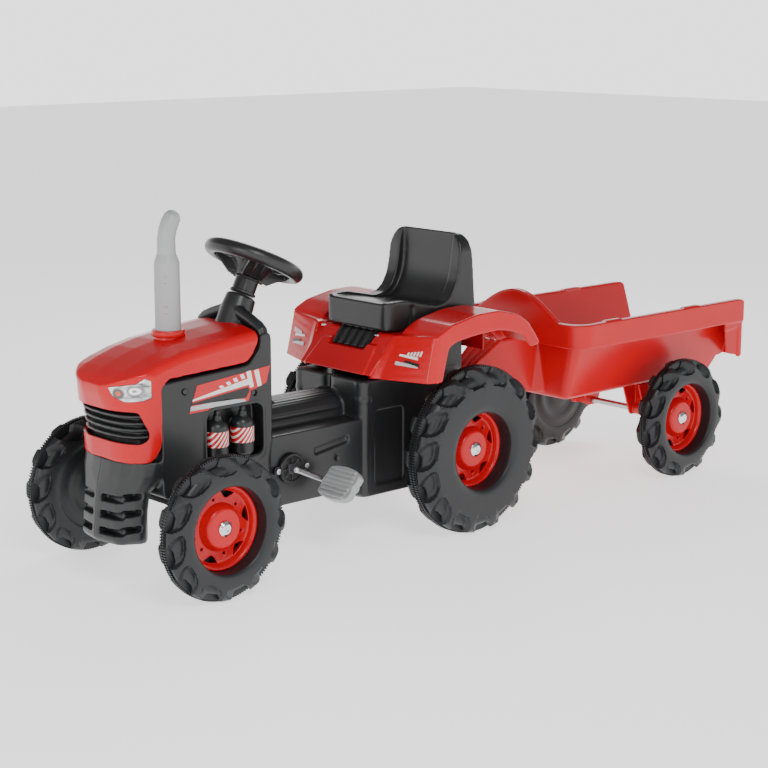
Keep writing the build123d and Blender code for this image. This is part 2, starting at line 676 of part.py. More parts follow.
def trailer_axle():
    """Steel rod with a collar inside each wheel."""
    end = TRAILER_WHEEL_X + 5.5
    shape = rod((-end, TRAILER_AXLE_Y, SMALL_R), (end, TRAILER_AXLE_Y, SMALL_R), SPINDLE_R)
    stop = TRAILER_WHEEL_X - SMALL_HALF_W + 3.5 - GAP
    for side in (-1, 1):
        shape += rod((side * (stop - 6), TRAILER_AXLE_Y, SMALL_R), (side * stop, TRAILER_AXLE_Y, SMALL_R), 10)
    return shape


# ---- hitch --------------------------------------------------------------
def hitch_bracket():
    """Steel clevis on the rear of the body, above and below the drawbar."""
    shape = block(-25, 25, BOX_REAR, BOX_REAR + 4, 180, 244)
    for z in (194, 226):
        shape += block(-25, 25, BOX_REAR, HITCH_Y, z, z + 4)
        shape += rod((0, HITCH_Y, z), (0, HITCH_Y, z + 4), 20)
    return shape - rod((0, HITCH_Y, 150), (0, HITCH_Y, 300), HITCH_R + RUN)


def hitch_pin():
    """Drop-in pin with a round head."""
    return rod((0, HITCH_Y, 184), (0, HITCH_Y, 232), HITCH_R) + rod((0, HITCH_Y, 230 + GAP), (0, HITCH_Y, 238), 12)


# ---- screws -------------------------------------------------------------
def side_screws(places, x, radius):
    """Screw heads on both sides of the body, at the (y, z) places."""
    heads = []
    for side in (-1, 1):
        for y, z in places:
            heads.append(rod((side * x, y, z), (side * (x + 1.8), y, z), radius))
    return Compound(children=heads)


def seat_bolts():
    """Bolts up through the body, the deck and the bracket into the seat."""
    bolts = bolt_rods(BOLT_R)
    for index, (x, y) in enumerate(BOLT_PLACES):
        bolts[index] += rod((x, y, DECK_Z - WALL - 4), (x, y, DECK_Z - WALL), 6)
    return Compound(children=bolts)


def deck_screws():
    heads = []
    for x in (-70, 70):
        for y in (-180, 28):
            heads.append(rod((x, y, DECK_Z + WALL), (x, y, DECK_Z + WALL + 2), 4.5))
    return Compound(children=heads)


# ---- build --------------------------------------------------------------
def build():
    os.makedirs("parts", exist_ok=True)
    save_wheel("front", SMALL_R, SMALL_HALF_W, FRONT_WHEEL_X, FRONT_AXLE_Y, SPINDLE_R + RUN)
    save_wheel("rear", LARGE_R, LARGE_HALF_W, REAR_WHEEL_X, REAR_AXLE_Y, 6 + RUN)
    save_wheel("trailer", SMALL_R, SMALL_HALF_W, TRAILER_WHEEL_X, TRAILER_AXLE_Y, SPINDLE_R + RUN)
    save_body()
    save("column_housing", column_housing())
    save("steering_bush", steering_bush())
    save("bonnet", bonnet())
    save("headlamp_left", headlamp(1))
    save("headlamp_right", headlamp(-1))
    save("exhaust_pipe", exhaust_pipe())
    save("rear_deck", rear_deck())
    save("seat", seat())
    save("seat_bracket", seat_bracket())
    save("seat_bolts", seat_bolts())
    save("deck_screws", deck_screws())
    save("body_screws", side_screws([(-602, 314), (-468, 294), (-288, 156)], BODY_X, 4))
    save("steering_wheel", steering_wheel())
    save("steering_cap", steering_cap())
    save("column_sleeve", column_sleeve())
    save("steering_shaft", steering_shaft())
    save("front_axle_beam", front_axle_beam())
    left_knuckle = knuckle()
    save("knuckle_left", left_knuckle)
    save("knuckle_right", mirror(left_knuckle, Plane.YZ))
    save("tie_rod", tie_rod())
    save("crank_shaft", crank_shaft())
    save("pedal_left", pedal(1, 50))
    save("pedal_right", pedal(-1, 20))
    bearing = crank_bearing()
    save("crank_bearing_left", bearing)
    save("crank_bearing_right", mirror(bearing, Plane.YZ))
    save("crank_bearing_screws", crank_bearing_screws())
    save("front_sprocket", sprocket(CRANK_Y, CRANK_Z, FRONT_SPROCKET_R - 3, 24, 6))
    save("rear_sprocket", sprocket(REAR_AXLE_Y, LARGE_R, REAR_SPROCKET_R - 3, 16, 6))
    save("chain", chain())
    save("rear_axle", rear_axle())
    save("rear_axle_bushes", rear_axle_bushes())
    save("trailer_tub", trailer_tub())
    save("trailer_axle_brackets", both_sides(trailer_axle_bracket()))
    save("trailer_axle", trailer_axle())
    save("hitch_bracket", hitch_bracket())
    save("hitch_pin", hitch_pin())


build()
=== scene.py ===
"""Looks for the pedal tractor with its trailer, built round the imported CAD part.

Shapes are given in millimetres in the CAD frame (-Y forward, +X driver's left, +Z up)
and turned into metres when a mesh is made.
"""

from math import cos, pi, radians, sin, sqrt

import bmesh
import bpy
from mathutils import Matrix, Vector


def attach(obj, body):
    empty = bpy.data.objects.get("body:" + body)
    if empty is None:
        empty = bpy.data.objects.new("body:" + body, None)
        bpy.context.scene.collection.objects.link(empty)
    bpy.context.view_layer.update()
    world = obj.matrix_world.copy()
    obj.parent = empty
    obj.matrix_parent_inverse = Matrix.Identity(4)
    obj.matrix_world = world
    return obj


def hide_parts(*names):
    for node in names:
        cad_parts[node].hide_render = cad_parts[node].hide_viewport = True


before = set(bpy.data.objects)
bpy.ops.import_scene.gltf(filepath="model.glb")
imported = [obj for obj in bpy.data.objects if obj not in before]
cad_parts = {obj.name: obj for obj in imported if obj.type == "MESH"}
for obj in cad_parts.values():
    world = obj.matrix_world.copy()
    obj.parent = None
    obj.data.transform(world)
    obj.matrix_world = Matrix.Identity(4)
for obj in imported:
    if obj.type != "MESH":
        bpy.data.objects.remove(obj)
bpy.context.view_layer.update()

MM = 0.001
SIDES = ((1, "left"), (-1, "right"))      # side of the middle plane and its name in a piece
SMALL = (115.0, 26.0, 12, 84.0)           # tyre: radius, half width, lugs, radius where the flutes end
LARGE = (147.0, 33.0, 15, 107.0)
FRONT_X, REAR_X, TRAILER_X = 185.0, 174.0, 170.0  # how far out the middle of each wheel is
FRONT_AXLE = (-604.0, 115.0)              # y and z of each axle
REAR_AXLE = (-51.0, 147.0)
TRAILER_AXLE = (521.0, 115.0)
BODY_X = 91.0                             # half width of the engine and the seat's box
BODY_FRONT, ENGINE_REAR = -645.0, -428.0
BOX_FRONT, BOX_REAR = -233.0, 6.0
BAY_REAR, BAY_Z, SILL_Z = -464.0, 146.0, 93.0
STEP_TOP, DECK_Z = 213.0, 345.0
CRANK = (-390.0, 155.0)                   # y and z of the crank's axis
CRANK_ARM, CRANK_DIP, PEDAL_X = 62.0, 25.0, 149.5
WHEEL_CENTRE = Vector((0, -390, 489))     # middle of the steering wheel
TILT = radians(26)
COLUMN = Vector((0, sin(TILT), cos(TILT)))  # way up the steering column
STEER_R, STEER_TUBE = 73.0, 12.0
CUP_R = 27.0                              # cup round the steering column
STACK_Y = -565.0                          # exhaust stack
LAMP_REAR = -661.0                        # where the lamps end on the sides of the nose
BOTTLES_Y, BOTTLE_R = (-534, -483), 19.0  # dummy filter bottles in the engine's side
TUB_TOP, TUB_FLOOR, TUB_X, TUB_FLOOR_X = 326.0, 176.0, 162.0, 106.0
TUB_FRONT, TUB_REAR = 233.0, 722.0
TUB_WALL, BONNET_WALL = 3.2, 3.6
TUB_LEG_Z, BRACKET_FOOT_Z = 209.0, 104.0  # lower ends of the tub's rear legs and axle brackets
HUMP_X, HUMP_Z = 108.0, 52.0              # half width and height of the hump on the tub's front
HITCH_Y, HITCH_Z = 55.0, 222.6            # hole in the drawbar and the level round it


# ---- materials ----------------------------------------------------------
def new_material(name):
    material = bpy.data.materials.new(name)
    material.use_nodes = True
    tree = material.node_tree
    return material, tree, tree.nodes["Principled BSDF"]


def add_node(tree, kind, inputs=None):
    """New shader node with some of its inputs set."""
    node = tree.nodes.new(f"ShaderNode{kind}")
    set_inputs(node, inputs or {})
    return node


def set_inputs(node, values):
    for name, value in values.items():
        node.inputs[name].default_value = value


def object_noise(tree, scale, detail=3.0, stretch=(1, 1, 1)):
    """Noise in object space, so that it stays on the piece when it moves."""
    position = add_node(tree, "TexCoord")
    mapping = add_node(tree, "Mapping", {"Scale": stretch})
    noise = add_node(tree, "TexNoise", {"Scale": scale, "Detail": detail})
    tree.links.new(position.outputs["Object"], mapping.inputs["Vector"])
    tree.links.new(mapping.outputs["Vector"], noise.inputs["Vector"])
    return noise.outputs["Fac"]


def mapped(tree, source, low, high, start=0.3, end=0.7):
    """The values from start to end spread over low to high."""
    node = add_node(tree, "MapRange", {"From Min": start, "From Max": end, "To Min": low, "To Max": high})
    tree.links.new(source, node.inputs["Value"])
    return node.outputs["Result"]


def tinted(tree, source, first, second, start=0.35, end=0.68, blend="LINEAR"):
    """Two colours mixed by a value."""
    node = add_node(tree, "ValToRGB")
    node.color_ramp.interpolation = blend
    for stop, position, colour in zip(node.color_ramp.elements, (start, end), (first, second)):
        stop.position = position
        stop.color = (*colour, 1)
    tree.links.new(source, node.inputs["Fac"])
    return node.outputs["Color"]


def add_bump(tree, shader, source, strength):
    bump = add_node(tree, "Bump", {"Strength": strength, "Distance": 0.0002})
    tree.links.new(source, bump.inputs["Height"])
    tree.links.new(bump.outputs["Normal"], shader.inputs["Normal"])


def plastic(name, colour, darker, rough, grain=900.0, bump=0.12, shine=0.5):
    """Moulded plastic: slow colour and sheen changes and a fine surface grain."""
    material, tree, shader = new_material(name)
    slow = object_noise(tree, 9.0)
    fine = object_noise(tree, grain, 2.0)
    tree.links.new(tinted(tree, slow, darker, colour), shader.inputs["Base Color"])
    tree.links.new(mapped(tree, slow, rough - 0.04, rough + 0.05), shader.inputs["Roughness"])
    add_bump(tree, shader, fine, bump)
    set_inputs(shader, {"Specular IOR Level": shine})
    return material


def printed(name, colour, darker):
    """Decal print: smooth, with hardly any grain."""
    return plastic(name, colour, darker, 0.3, 300.0, 0.02)


def metal(name, colour, darker, rough, stretch=(1, 1, 1), metallic=1.0):
    """Metal with streaks of sheen along one direction."""
    material, tree, shader = new_material(name)
    streaks = object_noise(tree, 120.0, 4.0, stretch)
    tree.links.new(tinted(tree, streaks, darker, colour), shader.inputs["Base Color"])
    tree.links.new(mapped(tree, streaks, rough - 0.08, rough + 0.1), shader.inputs["Roughness"])
    add_bump(tree, shader, streaks, 0.08)
    set_inputs(shader, {"Metallic": metallic})
    return material


DARK = plastic("dark_body", (0.018, 0.0185, 0.02), (0.013, 0.0135, 0.0145), 0.34)
TYRE = plastic("tyre_plastic", (0.018, 0.019, 0.021), (0.013, 0.014, 0.015), 0.36, 1200.0, 0.12, 0.4)
BLACK = plastic("black_plastic", (0.015, 0.015, 0.016), (0.011, 0.011, 0.012), 0.32, 1100.0)
RED = plastic("red_gloss", (0.6, 0.002, 0.008), (0.56, 0.002, 0.007), 0.22, 300.0, 0.03, 0.36)
GREY = plastic("grey_plastic", (0.38, 0.385, 0.39), (0.34, 0.345, 0.35), 0.38)
WHITE = printed("decal_white", (0.85, 0.84, 0.82), (0.8, 0.79, 0.77))
SILVER = printed("decal_silver", (0.62, 0.62, 0.63), (0.4, 0.4, 0.42))
INK = printed("decal_black", (0.012, 0.012, 0.013), (0.01, 0.01, 0.011))
RED_PRINT = printed("decal_red", (0.62, 0.01, 0.014), (0.6, 0.01, 0.014))
STEEL = metal("zinc_steel", (0.62, 0.62, 0.64), (0.42, 0.42, 0.44), 0.3, (1, 8, 8))
CHAIN_STEEL = metal("chain_steel", (0.3, 0.28, 0.25), (0.16, 0.15, 0.14), 0.42)
PAINTED = metal("black_paint", (0.03, 0.03, 0.032), (0.02, 0.02, 0.022), 0.4, metallic=0.0)
CHROME = metal("silver_cap", (0.85, 0.85, 0.86), (0.7, 0.7, 0.72), 0.14)


# ---- mesh building ------------------------------------------------------
def skinned(sections, closed=False):
    """Solid through sections with the same number of points, with two end faces or closed to a ring."""
    count = len(sections[0])
    verts = [point for section in sections for point in section]
    faces = []
    if not closed:
        faces = [list(range(count)), [len(verts) - count + i for i in range(count)]]
    for s in range(len(sections) if closed else len(sections) - 1):
        ahead = (s + 1) % len(sections)
        for i in range(count):
            j = (i + 1) % count
            faces.append([s * count + i, s * count + j, ahead * count + j, ahead * count + i])
    return verts, faces


def prism(axis, outline, low, high):
    """Outline of 2-D points extruded along an axis; the points keep the order of the other axes."""
    to_space = {"x": lambda u, v, w: (w, u, v), "y": lambda u, v, w: (u, w, v),
                "z": lambda u, v, w: (u, v, w)}[axis]
    return skinned([[to_space(u, v, w) for u, v in outline] for w in (low, high)])


def block(x0, x1, y0, y1, z0, z1):
    return prism("z", [(x0, y0), (x1, y0), (x1, y1), (x0, y1)], z0, z1)


def rounded(outline, radius, steps=5):
    """The outline with its corners rounded off."""
    result = []
    count = len(outline)
    for i, corner in enumerate(outline):
        here = Vector(corner)
        before = Vector(outline[i - 1]) - here
        after = Vector(outline[(i + 1) % count]) - here
        reach = min(radius, before.length * 0.48, after.length * 0.48)
        start = here + before.normalized() * reach
        end = here + after.normalized() * reach
        for k in range(steps + 1):
            t = k / steps
            point = start * (1 - t) ** 2 + here * 2 * t * (1 - t) + end * t ** 2
            result.append(tuple(point))
    return result


def both_sides(half):
    """Outline closed by its own mirror image."""
    return half + [(-x, v) for x, v in reversed(half)]


def around(centre, x, radius, angle):
    """Point round an axle that runs along X."""
    return (centre[0] + x, centre[1] + radius * cos(angle), centre[2] + radius * sin(angle))


def tube(path, radii, segments=32):
    """Round bar along a path of points, with a radius at each point and closed ends."""
    points = [Vector(p) for p in path]
    angles = [2 * pi * k / segments for k in range(segments)]
    sections = []
    side = None
    for i, (point, radius) in enumerate(zip(points, radii)):
        ahead = points[min(i + 1, len(points) - 1)] - points[max(i - 1, 0)]
        ahead.normalize()
        if side is None:
            side = ahead.orthogonal().normalized()
        side = (side - ahead * side.dot(ahead)).normalized()
        up = ahead.cross(side)
        sections.append([point + (side * cos(a) + up * sin(a)) * radius for a in angles])
    return skinned(sections)


def stacked(outlines, levels):
    """Solid through plan-view outlines at several heights."""
    return skinned([[(x, y, z) for x, y in outline] for outline, z in zip(outlines, levels)])


def rod(start, end, radius, end_radius=None, segments=32):
    return tube([start, end], [radius, radius if end_radius is None else end_radius], segments)


def dome(centre, radius, height, axis=(0, 0, 1), steps=6, segments=32):
    """Half an ellipsoid standing on a disc."""
    centre, axis = Vector(centre), Vector(axis)
    angles = [radians(88) * k / steps for k in range(steps + 1)]
    path = [centre + axis * height * sin(a) for a in angles]
    return tube(path, [radius * cos(a) for a in angles], segments)


def revolve(profile, centre, segments=96, side=1):
    """Lathe about X: (x, radius) points that form a closed loop."""
    angles = [2 * pi * k / segments for k in range(segments)]
    return skinned([[around(centre, side * x, r, a) for x, r in profile] for a in angles], closed=True)


def mirrored(part):
    verts, faces = part
    return [(-v[0], v[1], v[2]) for v in verts], faces


def on_both_sides(parts):
    return parts + [mirrored(part) for part in parts]


def moved(part, matrix):
    verts, faces = part
    return [matrix @ Vector(v) for v in verts], faces


def linked(name, mesh):
    """New object in the scene."""
    obj = bpy.data.objects.new(name, mesh)
    bpy.context.scene.collection.objects.link(obj)
    return obj


def make(name, parts, material):
    """One object from several closed parts in millimetres."""
    verts, faces = [], []
    for part_verts, part_faces in parts:
        base = len(verts)
        verts += [Vector(v) * MM for v in part_verts]
        faces += [[base + i for i in face] for face in part_faces]
    mesh = bpy.data.meshes.new(name)
    mesh.from_pydata(verts, [], faces)
    work = bmesh.new()
    work.from_mesh(mesh)
    bmesh.ops.recalc_face_normals(work, faces=work.faces)
    work.to_mesh(mesh)
    work.free()
    mesh.materials.append(material)
    return linked(name, mesh)


def apply_modifiers(obj):
    """Bakes the modifiers into the mesh."""
    graph = bpy.context.evaluated_depsgraph_get()
    mesh = bpy.data.meshes.new_from_object(obj.evaluated_get(graph))
    obj.modifiers.clear()
    obj.data = mesh


def carve(obj, parts, mode="DIFFERENCE"):
    """Cuts the parts out of an object, or keeps only what lies in them."""
    cutters = []
    for index, part in enumerate(parts):
        cutter = make(f"{obj.name}_cut_{index}", [part], obj.data.materials[0])
        step = obj.modifiers.new("cut", "BOOLEAN")
        step.operation = mode
        step.solver = "EXACT"
        step.object = cutter
        cutters.append(cutter)
    apply_modifiers(obj)
    for cutter in cutters:
        bpy.data.objects.remove(cutter)


def hollow_out(obj, inner):
    """Cuts another object out of this one and deletes it."""
    step = obj.modifiers.new("hollow", "BOOLEAN")
    step.solver = "EXACT"
    step.object = inner
    apply_modifiers(obj)
    bpy.data.objects.remove(inner)


def mould(obj, voxel, smooth):
    """Melts overlapping parts into one skin with soft edges, like a plastic moulding."""
    skin = obj.modifiers.new("skin", "REMESH")
    skin.mode = "VOXEL"
    skin.voxel_size = voxel * MM
    skin.use_smooth_shade = True
    if smooth:
        soften = obj.modifiers.new("soften", "SMOOTH")
        soften.factor = 0.5
        soften.iterations = smooth
    apply_modifiers(obj)


def shade(obj, angle=35.0):
    """Smooth shading that keeps edges sharper than the angle."""
    for face in obj.data.polygons:
        face.use_smooth = True
    obj.data.set_sharp_from_angle(angle=radians(angle))


def soften_edges(obj, width, angle=30.0):
    """Small rounded edges on a hard-edged piece."""
    weld = obj.modifiers.new("weld", "WELD")
    weld.merge_threshold = 0.00002
    bevel = obj.modifiers.new("edges", "BEVEL")
    bevel.width = width * MM
    bevel.segments = 2
    bevel.limit_method = "ANGLE"
    bevel.angle_limit = radians(angle)
    bevel.harden_normals = False


def place(obj, body, slot_name, *nodes):
    """The finished piece rides on a body and stands for CAD nodes."""
    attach(obj, body)
    if nodes:
        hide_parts(*nodes)
    return obj


# ---- wheels -------------------------------------------------------------
def tyre_profile(radius, half):
    """(x, radius) points of the outside, from the middle of the tread to the rim."""
    drop = 70.0 - radius
    shape = [(0.0, -3.0), (0.2, -3.0), (0.22, -6.0), (0.26, -5.0), (0.32, -2.4), (0.42, -1.6),
             (0.53, -2.4), (0.64, -4.6), (0.75, -7.8), (0.84, -12), (0.92, -18), (0.97, -24.5),
             (1.0, -32.0), (0.995, 0.82 * drop), (0.96, 0.93 * drop), (0.88, drop), (0.78, 1.03 * drop),
             (0.5, 1.04 * drop), (0.2, 1.04 * drop)]
    return [(x * half, radius + z) for x, z in shape]


def refined(points, per_step):
    """More points along a profile, on a smooth curve through the given ones."""
    result = []
    last = len(points) - 1
    for i in range(last):
        p0, p1, p2, p3 = (Vector(points[max(0, min(last, i + k))]) for k in (-1, 0, 1, 2))
        linear = p2 - p0
        square = 2 * p0 - 5 * p1 + 4 * p2 - p3
        cubic = 3 * p1 - p0 - 3 * p2 + p3
        for s in range(per_step):
            t = s / per_step
            result.append(0.5 * (2 * p1 + linear * t + square * t * t + cubic * t ** 3))
    result.append(Vector(points[last]))
    return result


def scoop_depth(turn, x, r, radius, half, lugs, low_r):
    """How deep the flute between two lugs is at a point of the tread."""
    if x < 0.2 * half or r < low_r:
        return 0.0
    along = (radius - r) / (radius - low_r)
    across = min(1.0, (x - 0.2 * half) / (0.8 * half))
    reach = 0.5 * along + 0.5 * across
    phase = (turn * lugs + 0.45 * reach) % 1.0
    u = (phase - 0.5) / (0.22 + 0.26 * sqrt(max(0.0, min(1.0, reach))))
    v = (reach - 0.43) / 0.47
    inside = 1 - abs(u) ** 2.4 - abs(v) ** 3
    return 12.0 * min(1.0, 1.25 * sqrt(inside)) if inside > 0 else 0.0


def tyre_skin(tyre, centre, side):
    """Tread and both side walls as one grid round the axle."""
    radius, half, lugs, low_r = tyre
    profile = refined(tyre_profile(radius, half), 3)
    loop = [(-p.x, p.y) for p in reversed(profile)] + [(p.x, p.y) for p in profile[1:]]
    core = Vector((0.25 * half, radius - 40))
    segments = lugs * 26
    sections = []
    for k in range(segments):
        turn = k / segments
        section = []
        for x, r in loop:
            shift = 0.5 if x < 0 else 0.0
            depth = scoop_depth(turn + shift / lugs, abs(x), r, radius, half, lugs, low_r)
            towards = (core - Vector((abs(x), r))).normalized() * depth
            px = x + (towards.x if x > 0 else -towards.x)
            section.append(around(centre, side * px, r + towards.y, 2 * pi * turn))
        sections.append(section)
    return skinned(sections, closed=True)


def seam_beads(tyre, centre):
    """Two rows of small knurls beside the moulding seam."""
    radius, half, lugs = tyre[:3]
    count = lugs * 13
    beads = []
    for row in (-1, 1):
        x0, x1 = sorted((row * 0.025 * half, row * 0.2 * half))
        for k in range(count):
            a0, a1 = (2 * pi * (k + s) / count for s in (0.22, 0.78))
            sections = []
            for r, inset in ((radius - 3.6, 0.0), (radius, 0.25)):
                corners = [(x0 + inset, a0), (x0 + inset, a1), (x1 - inset, a1), (x1 - inset, a0)]
                sections.append([around(centre, x, r, a) for x, a in corners])
            beads.append(skinned(sections))
    return beads


def inner_disc(half, centre, side):
    """Ridged plate that closes the inner side of the wheel."""
    profile = [(3.1, 14), (0.2, 14), (0.2, 26), (1.4, 28), (1.4, 46), (0.2, 48), (0.2, 60), (1.4, 62),
               (1.4, 72), (3.1, 73)]
    return revolve([(x - half, r) for x, r in profile], centre, side=side)


def rim_profile(half):
    """(x, radius) points of the rim: rolled edge, dish with its hub, and back along the inside."""
    back = 3.5 - half
    return [(back, 61), (back, 68), (-1, 68), (0.5, 67.6), (1.2, 66.4), (1.2, 64.2), (0.2, 62.6),
            (-1.5, 61), (-5, 59.8), (-9, 58.6), (-10, 57), (-10.2, 54), (-9.8, 42), (-9, 38.6),
            (-6, 36.4), (1, 33.6), (4.2, 31.6), (5.6, 28.6), (6, 24), (6, 6.2), (back, 6.2), (back, 15),
            (1, 16.5), (1.6, 28.5), (-2, 31), (-9, 34.8), (-13, 37.6), (-13.4, 58), (-12, 60.6),
            (-8, 62.4), (-3, 64)]


def rim_piece(name, half, centre, side):
    """Dished rim with slots and holes right through its disc."""
    obj = make(name, [revolve(rim_profile(half), centre, 120, side)], RED)
    low, high = sorted((centre[0] - side * 20, centre[0] + side * 2))
    cutters = []
    for index in range(6):
        middle = radians(60 * index + 12)
        slot = []
        for radius, sweep, bulge in ((57.4, 0.25, 0.0), (49.0, -0.12, 3.0)):
            for t in [k / 4 - 1 for k in range(9)]:
                slot.append(around(centre, 0, radius - bulge * (1 - t ** 2), middle + sweep * t)[1:])
        cutters.append(prism("x", slot, low, high))
        hole = around(centre, 0, 45, middle + radians(30))[1:]
        cutters.append(rod((low, *hole), (high, *hole), 2.7, segments=16))
    carve(obj, cutters)
    soften_edges(obj, 0.5, 50)
    apply_modifiers(obj)
    shade(obj, 40)
    return obj


def hub_cap_piece(name, centre, side):
    """Silver dome with a rolled edge and a plain dimple."""
    profile = [(6, 0.01), (6, 12.4), (7.4, 12.6), (8.4, 12.0), (8.8, 10.8), (10.6, 9.4), (12.0, 7.0),
               (12.5, 4.6), (12.2, 3.4), (11.4, 2.6), (11.2, 0.01)]
    obj = make(name, [revolve(profile, centre, 48, side)], CHROME)
    shade(obj, 50)
    return obj


def wheel(stem, side, tyre, wheel_x, axle, body):
    """Tyre, rim and cap of one wheel, in place of its three CAD solids."""
    half = tyre[1]
    centre = (side * wheel_x, *axle)
    skin_parts = [tyre_skin(tyre, centre, side), *seam_beads(tyre, centre), inner_disc(half, centre, side)]
    skin = make(f"{stem}_tyre_skin", skin_parts, TYRE)
    shade(skin, 42)
    place(skin, body, "tyre_plastic", f"{stem}_tyre")
    place(rim_piece(f"{stem}_rim_dish", half, centre, side), body, "red_gloss", f"{stem}_rim")
    place(hub_cap_piece(f"{stem}_cap", centre, side), body, "silver_cap", f"{stem}_hub_cap")


def build_wheels():
    for side, name in SIDES:
        wheel(f"front_{name}", side, SMALL, FRONT_X, FRONT_AXLE, f"front_{name}_wheel")
        wheel(f"trailer_{name}", side, SMALL, TRAILER_X, TRAILER_AXLE, f"trailer_{name}_wheel")
    wheel("rear_left", 1, LARGE, REAR_X, REAR_AXLE, "rear_drive")
    wheel("rear_right", -1, LARGE, REAR_X, REAR_AXLE, "rear_right_wheel")


# ---- moulded body -------------------------------------------------------
def nose_plan(inset, front):
    """Left half of the blunt nose, seen from above."""
    rear = BODY_FRONT + 25
    return [(-2, front), (24, front + 1.5), (48, front + 6), (66, front + 15), (79 - inset, front + 27),
            (87 - inset, front + 42), (BODY_X - inset, front + 58), (BODY_X - inset, rear), (-2, rear)]


def bumper_plan(front, width):
    """Left half of the narrower bumper, with a corner a little in from its side."""
    return [(-2, front), (24, front + 4), (44, front + 8), (50, front + 12), (width - 8, front + 26),
            (width, front + 40), (width - 1, front + 50), (width - 9, -657), (-2, -657)]


def bumper_slot(z):
    """Long slot on one side of the bumper's seam, in front and on round the corner."""
    front = rounded([(8, z - 5), (57, z - 5), (57, z + 6), (9, z + 6)], 5)
    side = rounded([(-714, z - 4), (-673, z + 2), (-673, z + 12), (-714, z + 7)], 5)
    return [prism("y", front, -740, -694), prism("x", side, 50, 90)]


def grille_slats():
    """Level ribs in the dark panel behind the bonnet's window."""
    slats = []
    for z in (246, 257, 268, 279):
        front = -696.5 - 0.16 * (z - 246)
        slats.append(stacked([nose_plan(3.6, front), nose_plan(3.6, front - 0.8)], [z, z + 5]))
    return slats


def tunnel_parts():
    """Left half of the arched tunnel over the footwell, with fine ridges along it and a lug on top."""
    angles = [pi * k / 18 for k in range(1, 18)]
    arch = [(44, 200)] + [(44 * cos(a), 222 + 32 * sin(a) ** 0.8) for a in angles] + [(-44, 200)]
    parts = [prism("y", arch, ENGINE_REAR - 5, BOX_FRONT + 5)]
    for a in angles[:8]:
        x, z = 44.6 * cos(a), 222 + 32.6 * sin(a) ** 0.8
        parts.append(rod((x, ENGINE_REAR, z), (x, -242, z), 1.7, segments=10))
    parts.append(block(-24, 24, -416, -372, 240, 257))
    return parts


def nose_parts():
    """Left half of the bumper and of the dark panel behind the bonnet's window."""
    bumper = stacked([bumper_plan(-712, 66), bumper_plan(-717, 71), bumper_plan(-713, 72),
                      bumper_plan(-709, 76), nose_plan(0, -703), nose_plan(0, -698)],
                     [76, 84, 126, 160, 186, 209])
    panel = stacked([nose_plan(9, -686), nose_plan(9, -687), nose_plan(9, -690)], [190, 250, 312])
    return [bumper, panel]


def body_additions():
    """Overlapping solids that melt into the left half of the body."""
    engine = [(BODY_FRONT, BAY_Z), (BODY_FRONT, 331), (-472, 339), (-449, 366), (-449, 387),
              (ENGINE_REAR, 387), (ENGINE_REAR, STEP_TOP), (-434, 190), (-434, SILL_Z), (BAY_REAR, SILL_Z),
              (BAY_REAR, BAY_Z)]
    sill = [(BAY_REAR, SILL_Z), (BAY_REAR, STEP_TOP), (BOX_FRONT + 10, STEP_TOP), (BOX_FRONT + 10, 76),
            (-300, SILL_Z)]
    box_plan = rounded([(-2, BOX_FRONT), (90, BOX_FRONT), (90, BOX_REAR), (-2, BOX_REAR)], 20)
    return [prism("x", rounded(engine, 13), -2, BODY_X),
            prism("x", rounded(sill, 6), -2, 88),
            prism("z", box_plan, 74, 277),
            rod((77, -220, 76), (77, -220, 275), 14.5),
            rod((77, -220, 240), (77, -220, 247), 16),
            block(-2, 88, -150, BOX_REAR, 270, DECK_Z),
            *nose_parts(),
            rod((80, *REAR_AXLE), (134, *REAR_AXLE), 30, 22),
            *tunnel_parts()]


def pocket_details():
    """Two bottles in the side pocket with their pipes, a triangle below and a frame round the pocket."""
    x = BODY_X - 10
    parts = [rod((84, -482, 196), (86, -482, 168), 6, 5)]
    for y in BOTTLES_Y:
        parts += [rod((x, y, 200), (x, y, 244), BOTTLE_R),
                  dome((x, y, 244), BOTTLE_R, 15),
                  dome((x, y, 200), BOTTLE_R, 9, (0, 0, -1)),
                  rod((x + 2, y, 250), (x + 2, y, 292), 5.4, 4.4),
                  rod((x + 2, y, 258), (x + 2, y, 265), 7.5)]
    corners = [(-486, 186), (-440, 190), (-438, 146)]
    for k in range(3):
        parts.append(rod((88, *corners[k - 1]), (88, *corners[k]), 3.6, segments=12))
    outside = rounded([(-565, 182), (-443, 182), (-443, 280), (-565, 280)], 20)
    inside = rounded([(-560, 187), (-448, 187), (-448, 275), (-560, 275)], 17)
    rims = [[(88, *p), (92.2, *p), (92.2, *q), (88, *q)] for p, q in zip(outside, inside)]
    parts.append(skinned(rims, closed=True))
    return parts


def body_cuts():
    """Recesses in the left half of the body."""
    pocket = rounded([(-561, 186), (-447, 186), (-447, 276), (-561, 276)], 18)
    slot = rounded([(-336, 167), (-336, 179), (-262, 190), (-262, 178)], 5)
    box_panel = rounded([(-203, 92), (-136, 92), (-136, 224), (-203, 224)], 10)
    axle_bay = [(BODY_FRONT + 3, 60), (BODY_FRONT + 3, BAY_Z), (BAY_REAR, BAY_Z), (BAY_REAR, 60)]
    cuts = [prism("x", pocket, BODY_X - 28, 100)]
    for z in (96, 122, 148):
        cuts += bumper_slot(z)
    cuts += [prism("x", slot, 83, 100), prism("x", box_panel, 86.5, 100)]
    for y, z, r in ((-601, 313, 4.6), (-463, 292, 4.6), (-288, 155, 3.4)):
        cuts.append(rod((82, y, z), (100, y, z), r, segments=20))
    cuts.append(prism("x", axle_bay, -5, 100))
    return cuts


